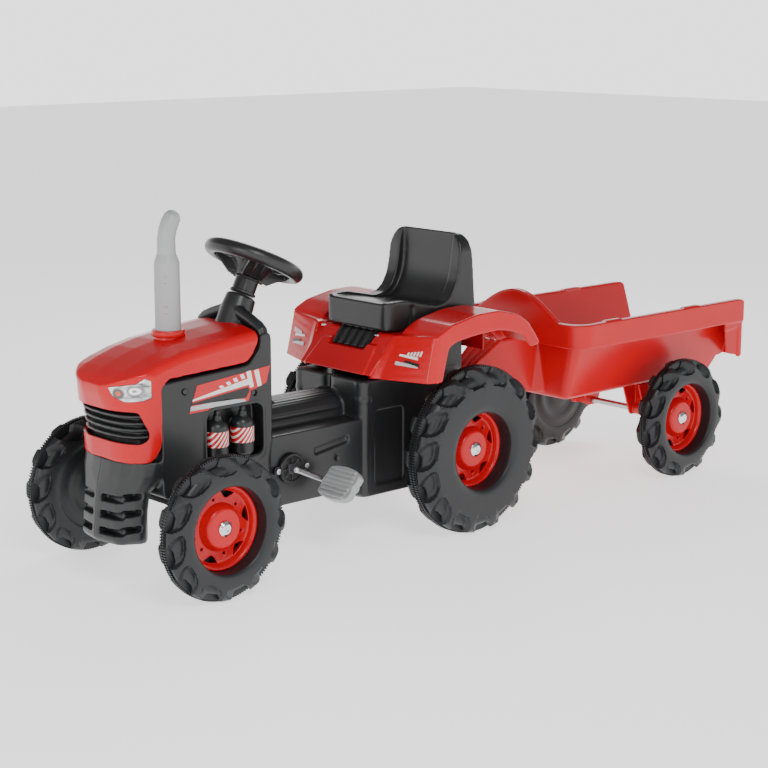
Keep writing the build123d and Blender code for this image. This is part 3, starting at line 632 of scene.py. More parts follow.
def body_inside():
    """Room for the crank, chain, axle and steering shaft, and all that lies past the middle plane."""
    footwell = [(-455, 100), (-455, 150), (-500, 156), (-500, 200), (-20, 200), (-20, 84), (-225, 84),
                (-296, 100)]
    tunnel = [(-5, 190), (38, 190), (38, 222), (24, 244), (-5, 247)]
    return [prism("x", footwell, -5, 83),
            prism("x", [(-225, 190), (-225, 268), (-4, 268), (-4, 190)], -5, 84),
            prism("y", tunnel, -440, -220),
            rod((-5, *CRANK), (110, *CRANK), 17.4),
            rod((-5, *REAR_AXLE), (150, *REAR_AXLE), 11.3),
            rod(WHEEL_CENTRE - COLUMN * 60, WHEEL_CENTRE - COLUMN * 400, 9.5, segments=24),
            block(-50, 0.25, -800, 100, 0, 500)]


def body_piece():
    obj = make("body_left_moulding", body_additions(), DARK)
    mould(obj, 2.0, 0)
    carve(obj, body_cuts())
    join(obj, make("body_details", pocket_details() + grille_slats(), DARK))
    mould(obj, 1.7, 4)
    carve(obj, body_inside())
    shade(obj, 60)
    return obj


def join(obj, other):
    """Adds another object's mesh to this one."""
    work = bmesh.new()
    work.from_mesh(obj.data)
    work.from_mesh(other.data)
    work.to_mesh(obj.data)
    work.free()
    bpy.data.objects.remove(other)


def mirror_copy(obj, name):
    """The same piece on the other side of the middle plane."""
    mesh = obj.data.copy()
    work = bmesh.new()
    work.from_mesh(mesh)
    bmesh.ops.scale(work, vec=(-1, 1, 1), verts=work.verts)
    bmesh.ops.reverse_faces(work, faces=work.faces)
    work.to_mesh(mesh)
    work.free()
    return linked(name, mesh)


def build_body():
    left = body_piece()
    right = mirror_copy(left, "body_right_moulding")
    place(left, "chassis", "dark_body", "body_shell_left")
    place(right, "chassis", "dark_body", "body_shell_right")


def build_cowl():
    """Cup for the steering column, held by two round arms behind the bonnet."""
    low = WHEEL_CENTRE - COLUMN * 126
    top = WHEEL_CENTRE - COLUMN * 61
    parts = [tube([low, low + COLUMN * 40, top - COLUMN * 3, top], [CUP_R, CUP_R, CUP_R - 2, CUP_R - 5])]
    for side in (-1, 1):
        arm = [(81, 350), (81, 381), (78, 389), (70, 395), (50, 403), (10, 416)]
        parts.append(tube([(side * x, -438, z) for x, z in arm], [9.5] * len(arm), 24))
        web = [(x, z + 9) for x, z in arm[3:]] + [(10, 380), (70, 380)]
        parts.append(prism("y", [(side * x, z) for x, z in web], -441, -435))
    obj = make("cowl", parts, DARK)
    mould(obj, 1.4, 4)
    carve(obj, [rod(WHEEL_CENTRE - COLUMN * 40, WHEEL_CENTRE - COLUMN * 140, 11.2)])
    shade(obj, 60)
    place(obj, "chassis", "dark_body", "column_housing")


# ---- bonnet -------------------------------------------------------------
def bonnet_section(crease, inset):
    """Half a cross-section of the bonnet: lower side, crease and crowned top."""
    w = BODY_X - 1 - inset
    c = crease - inset
    return [(w, 190), (w, c - 30), (w - 1.5, c - 14), (w - 5, c - 4), (w - 12, c + 1), (w - 40, c + 6),
            (0, c + 8)]


def curved_plan(inset, front, depth, power):
    """Left half of the bonnet's nose seen from above, rounder for a power nearer to 1."""
    turns = [radians(12 + 6 * k) for k in range(14)]
    return [((BODY_X - inset) * sin(t) ** power, front + depth * (1 - cos(t) ** power)) for t in turns]


def bonnet_solid(name, inset):
    """The bonnet's outside, or its inside when it is inset by the wall."""
    i = inset
    stations = [(-745, 276), (-726, 308), (-716, 322), (-704, 334), (-688, 344), (-664, 354), (-630, 365),
                (-590, 374), (-520, 383), (-451 - i, 390)]
    sections = []
    for y, crease in stations:
        half = bonnet_section(crease, inset)
        sections.append([(x, y, z) for x, z in half + [(-x, z) for x, z in reversed(half[:-1])]])
    obj = make(name, [skinned(sections)], RED)
    side = rounded([(-760, 207 - 6 * i), (-760, 440), (-440, 440), (-452 - i, 372), (-474 - i, 343 - 2 * i),
                    (-630, 336.5 - 6 * i), (-641 + i, 325 - 4 * i), (-643 + i, 232 - 4 * i),
                    (-662 + i, 209 - 4 * i), (-676 + i, 207 - 6 * i)], 13)
    noses = [(-696, 58, 0.78), (-699, 58, 0.78), (-708, 62, 0.8), (-716, 76, 0.88), (-719, 80, 0.9),
             (-719, 80, 0.9)]
    outlines = [both_sides(curved_plan(1 + i, front + i, depth, power) + [(BODY_X - 1 - i, -400)])
                for front, depth, power in noses]
    form = stacked(outlines, [150, 240, 292, 316, 335, 410])
    carve(obj, [prism("x", side, -120, 120), form], "INTERSECT")
    return obj


def build_lamps(skin):
    """Lamp lenses cut from the same curved nose as the bonnet."""
    material = lamp_material()
    for side, name in SIDES:
        lens = linked(f"lens_{name}", skin.data.copy())
        carve(lens, [prism("y", lamp_outline(side, 0.7), -760, LAMP_REAR - 0.7)], "INTERSECT")
        lens.data.materials.clear()
        lens.data.materials.append(material)
        shade(lens, 60)
        place(lens, "chassis", "lamp_silver", f"headlamp_{name}")


def bonnet_neck():
    """Stepped collar round the exhaust stack."""
    shape = [(372, 29), (376, 26.4), (381, 24), (385, 23.4), (386, 26), (387.5, 27), (394, 27), (396, 25.6)]
    return make("neck", [tube([(0, STACK_Y, z) for z, r in shape], [r for z, r in shape], 48)], RED)


def build_bonnet():
    """Hollow red moulding; its neck is carved apart, because the two overlap."""
    obj = bonnet_solid("bonnet_skin", 0)
    mould(obj, 1.5, 22)
    hollow_out(obj, bonnet_solid("bonnet_inner", BONNET_WALL))
    build_lamps(obj)
    stack_hole = rod((0, STACK_Y, 340), (0, STACK_Y, 420), 21.2, segments=48)
    neck = bonnet_neck()
    carve(neck, [stack_hole])
    window = rounded(both_sides([(78, 238), (85.5, 245), (86.5, 258), (80, 291)]), 6)
    cuts = [prism("y", lamp_outline(side, 0), -760, LAMP_REAR) for side in (-1, 1)]
    cuts += [prism("y", window, -760, -662),
             rod(WHEEL_CENTRE - COLUMN * 160, WHEEL_CENTRE - COLUMN * 60, CUP_R + 0.8, segments=48),
             stack_hole]
    for cut in cuts:
        carve(obj, [cut])
    join(obj, neck)
    shade(obj, 45)
    place(obj, "chassis", "red_gloss", "bonnet")


def lamp_outline(side, inset):
    """Lamp seen from the front: low near the grille, with a peak at the corner of the nose."""
    i = inset
    points = [(42 + i, 329 - i), (48 + i, 315 + i), (65, 306 + i), (83, 307 + i), (95, 317 + i),
              (95, 324 - i), (84.5, 343.5 - 1.6 * i), (78, 335 - i)]
    return [(side * x, z) for x, z in points]


def add_spot(tree, position, under, centre, size, tint):
    """Round spot painted over a colour."""
    distance = add_node(tree, "VectorMath", {1: centre})
    distance.operation = "DISTANCE"
    tree.links.new(position, distance.inputs[0])
    mix = add_node(tree, "MixRGB", {"Color2": (*tint, 1)})
    near = mapped(tree, distance.outputs["Value"], 0.0, 1.0, size * 1.15, size * 0.85)
    tree.links.new(near, mix.inputs["Fac"])
    tree.links.new(under, mix.inputs["Color1"])
    return mix.outputs["Color"]


def lamp_material():
    """Printed reflector: painted reflections in streaks on silver, a darker bowl with an amber spot, and a
    clear bulb.
    """
    material, tree, shader = new_material("lamp_silver")
    # painted reflection: dark and light streaks in the base colour stand in for what the shiny reflector
    # mirrors
    painted_reflections = object_noise(tree, 60.0, 4.0, (1, 1, 3))
    colour = tinted(tree, painted_reflections, (0.1, 0.1, 0.11), (0.85, 0.85, 0.87))
    position = add_node(tree, "TexCoord")
    flat = add_node(tree, "VectorMath", {1: (1, 0, 1)})
    flat.operation = "MULTIPLY"
    tree.links.new(position.outputs["Object"], flat.inputs[0])
    spots = [(57.5, 319.5, 8.5, (0.1, 0.09, 0.09)), (57.5, 319.5, 3.4, (0.75, 0.1, 0.01)),
             (76.5, 323.5, 7.8, (0.16, 0.16, 0.17)), (76.5, 323.5, 5.6, (0.95, 0.95, 0.97)),
             (76.5, 323.5, 2.2, (0.25, 0.25, 0.26))]
    for side in (-1, 1):
        for x, z, size, tint in spots:
            centre = (side * x * MM, 0, z * MM)
            colour = add_spot(tree, flat.outputs["Vector"], colour, centre, size * MM, tint)
    tree.links.new(colour, shader.inputs["Base Color"])
    set_inputs(shader, {"Metallic": 0.6, "Roughness": 0.12, "Coat Weight": 1.0})
    return material


def build_exhaust():
    """Grey silencer and stack with two dimples and a rounded top that leans back."""
    shape = [(0, 374, 20.8), (0, 400, 20.8), (0, 470, 20.6), (0, 503, 20.4), (0, 510, 18), (0, 518, 15),
             (0, 540, 14.6), (2.5, 553, 14.6), (8, 566, 14.6), (13, 574, 14), (17, 580, 10), (19, 583, 3)]
    path = [(0, STACK_Y + lean, z) for lean, z, r in shape]
    obj = make("exhaust_stack", [tube(path, [r for lean, z, r in shape], 40)], GREY)
    mould(obj, 1.3, 6)
    outward = Vector((0.707, -0.707, 0))
    dimples = []
    for z in (430, 478):
        ends = [Vector((0, STACK_Y, z)) + outward * (20.6 + depth) for depth in (-1.6, -0.4, 1)]
        dimples.append(tube(ends, [4, 6.6, 7.2], 24))
    carve(obj, dimples)
    shade(obj, 60)
    place(obj, "chassis", "grey_plastic", "exhaust_pipe")


# ---- rear deck and seat -------------------------------------------------
def fender_parts():
    """Left fender: a thick arch with a turned-down outer band and a broad slanting front face."""
    outer = [(-159, 278), (-150, 360), (-118, 375), (-60, 386), (-8, 387), (40, 376), (67, 359), (99, 317),
             (75, 313), (52, 338), (26, 347), (-8, 353), (-61, 350), (-108, 344), (-127, 335), (-143, 278)]
    top = rounded([(-162, 340), (-150, 360), (-118, 375), (-60, 386), (-8, 387), (40, 376), (67, 359),
                   (99, 317), (75, 313), (40, 350), (-60, 360)], 7, 3)
    foot = [(82, -214, 279), (100, -203, 279), (186, -172, 279), (191, -160, 279), (191, -140, 279),
            (82, -160, 279)]
    head = [(98, -171, 350), (110, -167, 352), (184, -154, 357), (191, -146, 358), (191, -120, 358),
            (98, -140, 352)]
    return [prism("x", rounded(outer, 7, 3), 168, 191.5), prism("x", top, 104, 180),
            skinned(between(foot, head))]


def between(first, last, steps=6):
    """Sections spread evenly from the first outline to the last, so a twisted face stays smooth."""
    sections = []
    for k in range(steps + 1):
        t = k / steps
        sections.append([tuple(a + (b - a) * t for a, b in zip(p, q)) for p, q in zip(first, last)])
    return sections


def fender_hollow():
    """Room under the left fender, for the wheel."""
    under = [(-150, 260), (-144, 352), (-114, 370), (-60, 381.5), (-8, 382.5), (38, 371), (64, 354),
             (93, 318), (88, 300), (-132, 300), (-131, 260)]
    foot = [(87, -207, 270), (101, -198, 270), (183, -168, 270), (187, -158, 270), (187, -100, 270),
            (87, -100, 270)]
    head = [(104, -165, 346), (112, -161, 346), (182, -150, 350), (187, -144, 350), (187, -100, 350),
            (104, -100, 346)]
    return [prism("x", under, 109.5, 187.5), skinned(between(foot, head))]


def deck_piece():
    """Red deck: two fenders, the plate between them and the apron with its notch."""
    top = DECK_Z + 4
    apron = [(-219, 285), (-181, 328), (-160, top), (-150, top), (-172, 326), (-211, 285)]
    swell = [[(-78, -223, 286), (78, -223, 286), (78, -214, 286), (-78, -214, 286)],
             [(-69, -184, 331), (69, -184, 331), (69, -176, 331), (-69, -176, 331)]]
    parts = on_both_sides(fender_parts())
    parts += [block(-112, 112, -160, 40, DECK_Z, top), block(-112, 112, 36, 40, 302, top),
              prism("x", apron, -92, 92), skinned(swell)]
    obj = make("deck_moulding", parts, RED)
    mould(obj, 2.0, 0)
    notch = rounded([(-53, 400), (-47, 321), (47, 321), (53, 400)], 4)
    cuts = on_both_sides(fender_hollow())
    cuts += [prism("y", notch, -260, -140),
             block(-BODY_X - 0.6, BODY_X + 0.6, -150.4, BOX_REAR + 0.6, 270, DECK_Z)]
    carve(obj, cuts)
    mould(obj, 1.4, 3)
    shade(obj, 60)
    return obj


def build_rear():
    place(deck_piece(), "chassis", "red_gloss", "rear_deck")
    build_seat()
    build_bracket()


def build_seat():
    """Deep moulded seat: block front, raised sides that sweep up into an upright back."""
    side = rounded([(-169, 353), (-168, 402.5), (-128, 404), (-62, 390), (-40, 393), (-24, 405), (-13, 425),
                    (-7, 450), (-3, 482), (3, 509), (17, 509), (24, 496), (38, 353)], 7)
    obj = make("seat_shell", [prism("x", side, -93, 93)], BLACK)
    dish = rounded([(-220, 402.4), (-152, 400), (-104, 393), (-62, 384), (-32, 385), (-10, 400), (3, 426),
                    (8, 456), (13, 560), (-220, 560)], 16)
    front_view = rounded([(-93, 320), (93, 320), (93, 480), (77, 509), (-77, 509), (-93, 480)], 22)
    plan = rounded([(-80, -169), (80, -169), (83, -118), (92, -62), (92, 45), (-92, 45), (-92, -62),
                    (-83, -118)], 18)
    carve(obj, [prism("x", dish, -66, 66)])
    carve(obj, [prism("y", front_view, -220, 80), prism("z", plan, 300, 560)], "INTERSECT")
    grooves = []
    for side_x in (-1, 1):
        grooves.append(rod((side_x * 69, -173, 340), (side_x * 69, -173, 398), 5.4))
        grooves.append(rod((side_x * 88, -112, 340), (side_x * 88, -112, 394), 6.5))
    carve(obj, grooves)
    mould(obj, 1.8, 16)
    shade(obj, 60)
    place(obj, "chassis", "black_plastic", "seat")


def build_bracket():
    """Ribbed bracket seen in the notch of the apron."""
    front = -150.4
    bulge = [(-150, 319), (-180, 319), (-183, 324), (-163, 348), (-150, 352)]
    parts = [block(-46, 46, front - 8, 20, DECK_Z + 4, 352.5), prism("x", bulge, -45, 45)]
    for x in (-38, -19, 0, 19, 38):
        parts.append(prism("x", [(y - 2.6, z + 1.4) for y, z in bulge], x - 3.5, x + 3.5))
    obj = make("bracket_ribs", parts, BLACK)
    soften_edges(obj, 0.8)
    apply_modifiers(obj)
    shade(obj, 40)
    place(obj, "chassis", "black_plastic", "seat_bracket")


# ---- steering -----------------------------------------------------------
def steering_parts(upright):
    """Thick rim, deep hub and three broad dished spokes with ribs under them."""
    angles = [2 * pi * k / 72 for k in range(73)]
    ring = [upright @ Vector((STEER_R * cos(a), STEER_R * sin(a), 0)) for a in angles]
    hub = [(-30, 20), (-29, 22.5), (-20, 25), (-12, 30), (-6, 36), (-4, 34)]
    web = [(16, -28), (16, -8), (44, -6), (66, 1), (68, -6), (50, -15), (34, -28)]
    rib = [(16, -30), (16, -12), (68, -4), (66, -10), (48, -19), (30, -32)]
    parts = [tube(ring, [STEER_TUBE] * len(ring), 28), on_column(hub, upright)]
    for angle in (90, 210, 330):
        turn = upright @ Matrix.Rotation(radians(angle), 4, "Z")
        parts.append(moved(prism("y", web, -17, 17), turn))
        parts += [moved(prism("y", rib, y - 1.8, y + 1.8), turn) for y in (-14, 0, 14)]
    return parts


def build_steering():
    """Steering wheel with its cap, and the sleeve under it."""
    upright = Matrix.Translation(WHEEL_CENTRE) @ Matrix.Rotation(-TILT, 4, "X")
    obj = make("steering_wheel_moulding", steering_parts(upright), BLACK)
    mould(obj, 1.2, 3)
    carve(obj, [rod(WHEEL_CENTRE - COLUMN * 60, WHEEL_CENTRE - COLUMN * 8, 6.2)])
    shade(obj, 60)
    place(obj, "steering", "black_plastic", "steering_wheel")
    pad_shape = [(-3.9, 28), (-3, 32), (1, 32.6), (4, 30), (6.2, 20), (7, 8)]
    pad = make("steering_pad", [on_column(pad_shape, upright)], BLACK)
    shade(pad, 50)
    place(pad, "steering", "black_plastic", "steering_cap")
    sleeve_shape = [(-58.5, 19), (-57.5, 22), (-54, 22), (-53, 19.6), (-34, 19.6), (-33, 21), (-30.6, 21)]
    sleeve = make("column_tube", [on_column(sleeve_shape, upright)], BLACK)
    carve(sleeve, [rod(WHEEL_CENTRE - COLUMN * 70, WHEEL_CENTRE - COLUMN * 20, 6.2)])
    shade(sleeve, 40)
    place(sleeve, "steering", "black_plastic", "column_sleeve")


def on_column(profile, upright):
    """Turned piece on the steering column, from (height, radius) points."""
    return tube([upright @ Vector((0, 0, z)) for z, r in profile], [r for z, r in profile], 48)


# ---- cranks and pedals --------------------------------------------------
def build_crank_bearings():
    """Round flange with spokes round the shaft, on two ears."""
    y, z = CRANK
    centre = (0, y, z)
    profile = [(91, 17.6), (91, 26), (94, 26), (96, 24.6), (96, 21), (93.4, 19.6), (92.4, 14), (92.4, 10.5),
               (95, 9.8), (96.4, 8), (96.4, 6.1), (79, 6.1), (79, 16.8), (91, 16.8)]
    outline = rounded([(y - 37, z - 7), (y + 37, z - 7), (y + 37, z + 7), (y - 37, z + 7)], 8)
    for side, name in SIDES:
        obj = make(f"crank_bearing_{name}_disc", [revolve(profile, centre, 72, side)], BLACK)
        ears = make("ears", [prism("x", outline, *sorted((side * 91.1, side * 93.4)))], BLACK)
        low, high = sorted((side * 70, side * 120))
        carve(ears, [rod((low, y, z), (high, y, z), 20)])
        join(obj, ears)
        spokes = []
        for k in range(8):
            start, end = (around(centre, side * 93.2, r, pi * k / 4) for r in (8, 20))
            spokes.append(rod(start, end, 1.7, segments=10))
        join(obj, make("spokes", spokes, BLACK))
        shade(obj, 40)
        place(obj, "chassis", "black_plastic", f"crank_bearing_{name}")


def pedal_parts():
    """Barrel-sided pedal with slats on both faces and a notch in its outer end."""
    outline = rounded([(-37, -22), (-26, -28), (0, -30.5), (26, -28), (39, -20), (39, -7), (33, -6),
                       (33, 6), (39, 7), (39, 20), (26, 28), (0, 30.5), (-26, 28), (-37, 22)], 4, 3)
    parts = [prism("z", outline, -6.4, 6.4), rod((-37, 0, 0), (38.4, 0, 0), 8.6, segments=24)]
    for k in range(-3, 4):
        reach = 34.5 - 0.6 * abs(k) ** 1.6
        for low, high in ((-9.0, -6.2), (6.2, 9.0)):
            parts.append(block(-reach, reach - 3, k * 7.6 - 2.2, k * 7.6 + 2.2, low, high))
    return parts


def build_pedals():
    for side, name, tilt in ((1, "left", 50), (-1, "right", 20)):
        centre = around((0, *CRANK), side * PEDAL_X, side * CRANK_ARM, -radians(CRANK_DIP))
        turn = Matrix.Translation(centre) @ Matrix.Rotation(radians(tilt), 4, "X")
        if side < 0:
            turn = turn @ Matrix.Rotation(pi, 4, "Z")
        obj = make(f"pedal_{name}_moulding", [moved(part, turn) for part in pedal_parts()], GREY)
        mould(obj, 1.0, 1)
        carve(obj, [moved(rod((-50, 0, 0), (36, 0, 0), 5.2, segments=24), turn)])
        shade(obj, 60)
        place(obj, f"{name}_pedal", "grey_plastic", f"pedal_{name}")


# ---- trailer ------------------------------------------------------------
def ring_outline(half_x, front, corner, rear=TUB_REAR):
    """U seen from above: along one side, round the front corners and back."""
    points = [(half_x, rear)]
    for k in range(9):
        a = pi / 16 * k
        points.append((half_x - corner + corner * cos(a), front + corner - corner * sin(a)))
    return both_sides(points)


def build_trailer():
    """Hollow tub with its band and drawbar melted on, then the openings and the rounded rear corners."""
    obj = trailer_shell("trailer_moulding", 0.0)
    hollow_out(obj, trailer_shell("trailer_inner", TUB_WALL))
    join(obj, make("band", band_parts() + drawbar_parts(), RED))
    mould(obj, 1.7, 7)
    hitch_hole = rod((0, HITCH_Y, 150), (0, HITCH_Y, 300), 6.3)
    hitch_seat = rod((0, HITCH_Y, HITCH_Z), (0, HITCH_Y, 280), 24)
    floor_end = [(676, 160), (745, 160), (745, 207.5), (702, 207.5)]
    carve(obj, [hitch_hole, hitch_seat,
                prism("x", floor_end, -200, 200),
                prism("x", corner_waste(TUB_REAR, TUB_TOP, 13, 1), -200, 200),
                prism("x", corner_waste(TUB_REAR, TUB_LEG_Z, 9, -1), -200, 200)])
    shade(obj, 60)
    place(obj, "trailer", "red_gloss", "trailer_tub")


def corner_waste(y, z, radius, up):
    """What rounding leaves off a corner at the rear; up is 1 for a top corner and -1 for a bottom one."""
    turns = [k * pi / 16 for k in range(9)]
    arc = [(y - radius + radius * sin(a), z - up * radius + up * radius * cos(a)) for a in turns]
    return arc + [(y + 4, z - up * radius), (y + 4, z + up * 6), (y - radius, z + up * 6)]


def trailer_shell(name, inset):
    """Solid tub shape, smaller by the inset on all sides but the open top and rear."""
    levels = [(TUB_FLOOR_X - 4, 265, TUB_FLOOR + inset, 10),
              (TUB_FLOOR_X, 261, TUB_FLOOR + 5 + inset * 0.4, 12),
              (TUB_X - 9, TUB_FRONT + 9, TUB_TOP + inset * 0.1, 26)]
    sections = []
    for half_x, front, z, corner in levels:
        outline = ring_outline(half_x - inset, front + inset, corner, TUB_REAR + inset)
        sections.append([(x, y, z) for x, y in outline])
    return make(name, [skinned(sections)], RED)


def strip(outline, z_low):
    """Upright wall from a level to the band's top edge, along an open outline seen from above."""
    sections = []
    for i, (x, y) in enumerate(outline):
        ahead = Vector(outline[min(i + 1, len(outline) - 1)]) - Vector(outline[max(i - 1, 0)])
        inward = Vector((-ahead.y, ahead.x)).normalized() * TUB_WALL
        inner_x, inner_y = x + inward.x, y + inward.y
        top = hump_height(x, y)
        sections.append([(x, y, z_low), (x, y, top), (inner_x, inner_y, top), (inner_x, inner_y, z_low)])
    return skinned(sections)


def hump_height(x, y):
    """Top edge of the band: level at the sides, raised in the middle of the front."""
    if y > TUB_FRONT + 30 or abs(x) >= HUMP_X:
        return TUB_TOP
    return TUB_TOP + HUMP_Z * cos(pi / 2 * x / HUMP_X)


def drawn_in(point, width):
    """Point of the band's outline moved inward by a width, except at the open rear."""
    x, y = point
    return x * (TUB_X - width) / TUB_X, y + (width if y < TUB_REAR - 1 else 0)


def band_parts():
    """Double wall round the top of the tub, its flat rim and the two legs at the rear."""
    outline = ring_outline(TUB_X, TUB_FRONT, 34)
    dense = []
    for (x0, y0), (x1, y1) in zip(outline, outline[1:]):
        steps = max(1, int(abs(x1 - x0) / 6)) if abs(y1 - y0) < 1 else 1
        dense += [(x0 + (x1 - x0) * k / steps, y0 + (y1 - y0) * k / steps) for k in range(steps)]
    dense.append(outline[-1])
    rim = []
    for point in dense:
        inner = drawn_in(point, 12)
        z = hump_height(*point)
        rim.append([(*point, z), (*point, z - TUB_WALL), (*inner, z - TUB_WALL), (*inner, z)])
    walls = [strip(dense, TUB_TOP - 45), strip([drawn_in(point, 9) for point in dense], TUB_TOP - 14)]
    return walls + [skinned(rim)] + on_both_sides(leg_parts())


def leg_parts():
    """Left leg that runs down the tub's rear edge, the band's lower lip and two tabs on the rim."""
    top = TUB_TOP - 2
    leg = rounded([(TUB_REAR, TUB_LEG_Z), (TUB_REAR, top), (TUB_REAR - 110, top),
                   (TUB_REAR - 110, TUB_TOP - 45), (TUB_REAR - 56, TUB_TOP - 44), (TUB_REAR - 48, 220)], 7)
    upright = [(TUB_REAR - 13, TUB_LEG_Z), (TUB_REAR, TUB_LEG_Z), (TUB_REAR, top), (TUB_REAR - 13, top)]
    shelf = [(TUB_REAR - 56, TUB_TOP - 60), (TUB_REAR - 56, TUB_TOP - 44), (TUB_REAR, TUB_TOP - 44),
             (TUB_REAR, TUB_TOP - 54)]
    end = [(TUB_X, TUB_LEG_Z), (TUB_X, top), (TUB_X - 12, top), (118, TUB_LEG_Z)]
    lip = [(TUB_X - 4, TUB_TOP - 46), (TUB_X + 1.2, TUB_TOP - 46), (TUB_X + 1.2, TUB_TOP - 42.6),
           (TUB_X - 4, TUB_TOP - 42.6)]
    tab = [(-26, 0), (-21, 3.4), (21, 3.4), (26, 0)]
    parts = [prism("x", leg, TUB_X - 5.4, TUB_X - 2.4), prism("y", end, TUB_REAR - 3.4, TUB_REAR),
             prism("y", lip, TUB_FRONT + 34, TUB_REAR - 56)]
    parts += [prism("x", outline, TUB_X - 5.4, TUB_X) for outline in (upright, shelf)]
    for y in (330, 560):
        parts.append(prism("x", [(y + u, TUB_TOP - 1 + v) for u, v in tab], TUB_X - 13, TUB_X - 1))
    return parts


def drawbar_parts():
    """Tongue that fans out to the front wall, with ridges along its top."""
    top = [(40, 222), (80, 222), (90, 242), (107, 257), (159, 293), (245, 299)]
    low = [(40, 201), (80, 201), (94, 204), (160, 201), (236, 186), (266, 186)]
    widths = [18, 24, 27, 31, 44, 56]
    top_widths = [0.82 * w for w in widths]
    parts = [skinned([[(-w, *p), (w, *p), (v, *q), (-v, *q)]
                      for p, q, w, v in zip(low, top, widths, top_widths)])]
    for spread in (-0.8, -0.3, 0.3, 0.8):
        path = [(spread * v, *p) for p, v in zip(top[2:], top_widths[2:])]
        parts.append(tube(path, [2.6] * len(path), 10))
    return parts


def build_axle_brackets():
    """Pair of tapered plates with a rib and a boss on each side, under the trailer's floor."""
    plate = rounded([(480, TUB_FLOOR), (562, TUB_FLOOR), (536, BRACKET_FOOT_Z), (506, BRACKET_FOOT_Z)], 6)
    parts = [prism("x", plate, 54, 59), prism("x", plate, 95, 100),
             block(56, 98, 518, 524, BRACKET_FOOT_Z, TUB_FLOOR),
             rod((55, *TRAILER_AXLE), (99, *TRAILER_AXLE), 11)]
    obj = make("axle_bracket_mouldings", on_both_sides(parts), RED)
    mould(obj, 1.5, 3)
    carve(obj, [rod((-120, *TRAILER_AXLE), (120, *TRAILER_AXLE), 6.2)])
    shade(obj, 60)
    place(obj, "trailer", "red_gloss", "trailer_axle_brackets")


# ---- decals -------------------------------------------------------------
def decal(name, layers, to_world):
    """Flat printed shapes: each layer is a material, an outline and a height above the surface."""
    obj = None
    for material, outline, height in layers:
        sections = [[to_world(u, v, level) for u, v in outline] for level in (height, height - 0.3)]
        layer = make(name, [skinned(sections)], material)
        if obj is None:
            obj = layer
            continue
        obj.data.materials.append(material)
        before = len(obj.data.polygons)
        join(obj, layer)
        for face in obj.data.polygons[before:]:
            face.material_index = len(obj.data.materials) - 1
    return obj


def engine_layers():
    """Stripes for the engine's side: (y, z) outlines."""
    field = [(-578, 320), (-432, 333), (-440, 306), (-470, 297), (-478, 279), (-594, 277)]
    layers = [(RED_PRINT, field, 0.5),
              (WHITE, [(-588, 296), (-586, 299), (-474, 318), (-472, 308)], 0.7),
              (INK, [(-590, 290), (-589, 293), (-478, 304), (-474, 298), (-482, 287)], 0.7),
              (SILVER, [(-592, 281), (-591, 288), (-520, 290), (-484, 285), (-482, 281)], 0.7)]
    for k in range(4):
        y, low, high = -532 + 14 * k, 3 * k, 4.2 * k
        bar = [(y, 309 + low), (y + 7, 310 + low), (y + 3, 314 + high), (y - 4, 313 + high)]
        layers.append((WHITE, bar, 0.9))
    for y in (-474, -458):
        layers.append((WHITE, [(y, 302), (y + 8, 303), (y + 2, 330), (y - 7, 329)], 0.9))
    return layers


def fender_layers():
    """Stripes for the fender's front face, from its inner lower corner."""
    layers = [(SILVER, [(0, 2), (0, 8), (44, 4), (44, 0)], 0.5),
              (INK, [(16, 8), (17, 11), (45, 7), (45, 2)], 0.7),
              (WHITE, [(3, 17), (5, 20), (40, 18), (41, 13)], 0.5)]
    for k in range(5):
        x = 18 + 6 * k
        layers.append((WHITE, [(x, 19.5), (x + 3.4, 19.3), (x + 5, 24 + k), (x + 1.6, 24 + k)], 0.7))
    return layers


def on_fender(u, v, height):
    """Point a height above the left fender's leaning front face."""
    x, z = 120 + u, 303 + v
    foot = -203 + (x - 100) * 0.36
    head = -167 + (x - 110) * 0.176
    y = foot + (z - 279) / 75 * (head - foot)
    lift = height + 1.3
    return (x + 0.3 * lift, y - 0.85 * lift, z + 0.4 * lift)


def on_engine(u, v, height):
    """Point a height above the engine's left side."""
    return (BODY_X + height, u, v)


def to_side(to_world, side):
    """The same printing surface on the driver's left (1) or right (-1)."""
    def turned(u, v, height):
        x, y, z = to_world(u, v, height)
        return (side * x, y, z)
    return turned


def label_material():
    """Red bottle label with slanted white bars."""
    material, tree, shader = new_material("bottle_label")
    position = add_node(tree, "TexCoord")
    turn = add_node(tree, "Mapping", {"Rotation": (radians(35), 0, 0)})
    bars = add_node(tree, "TexWave", {"Scale": 55.0})
    bars.bands_direction = "Y"
    red, white = (0.62, 0.01, 0.014), (0.85, 0.84, 0.82)
    colour = tinted(tree, bars.outputs["Fac"], red, white, 0.0, 0.62, "CONSTANT")
    tree.links.new(position.outputs["Object"], turn.inputs["Vector"])
    tree.links.new(turn.outputs["Vector"], bars.inputs["Vector"])
    tree.links.new(colour, shader.inputs["Base Color"])
    set_inputs(shader, {"Roughness": 0.3})
    return material


def build_decals():
    label = label_material()
    radii = [BOTTLE_R, BOTTLE_R + 0.5, BOTTLE_R + 0.5, BOTTLE_R]
    for side, name in SIDES:
        panel = decal(f"engine_decal_{name}", engine_layers(), to_side(on_engine, side))
        place(panel, "chassis", "dark_body")
        for index, y in enumerate(BOTTLES_Y):
            ring = tube([(side * (BODY_X - 10), y, z) for z in (215, 216, 239, 240)], radii, 48)
            place(make(f"bottle_label_{name}_{index}", [ring], label), "chassis", "dark_body")
        stripes = decal(f"fender_decal_{name}", fender_layers(), to_side(on_fender, side))
        place(stripes, "chassis", "red_gloss")


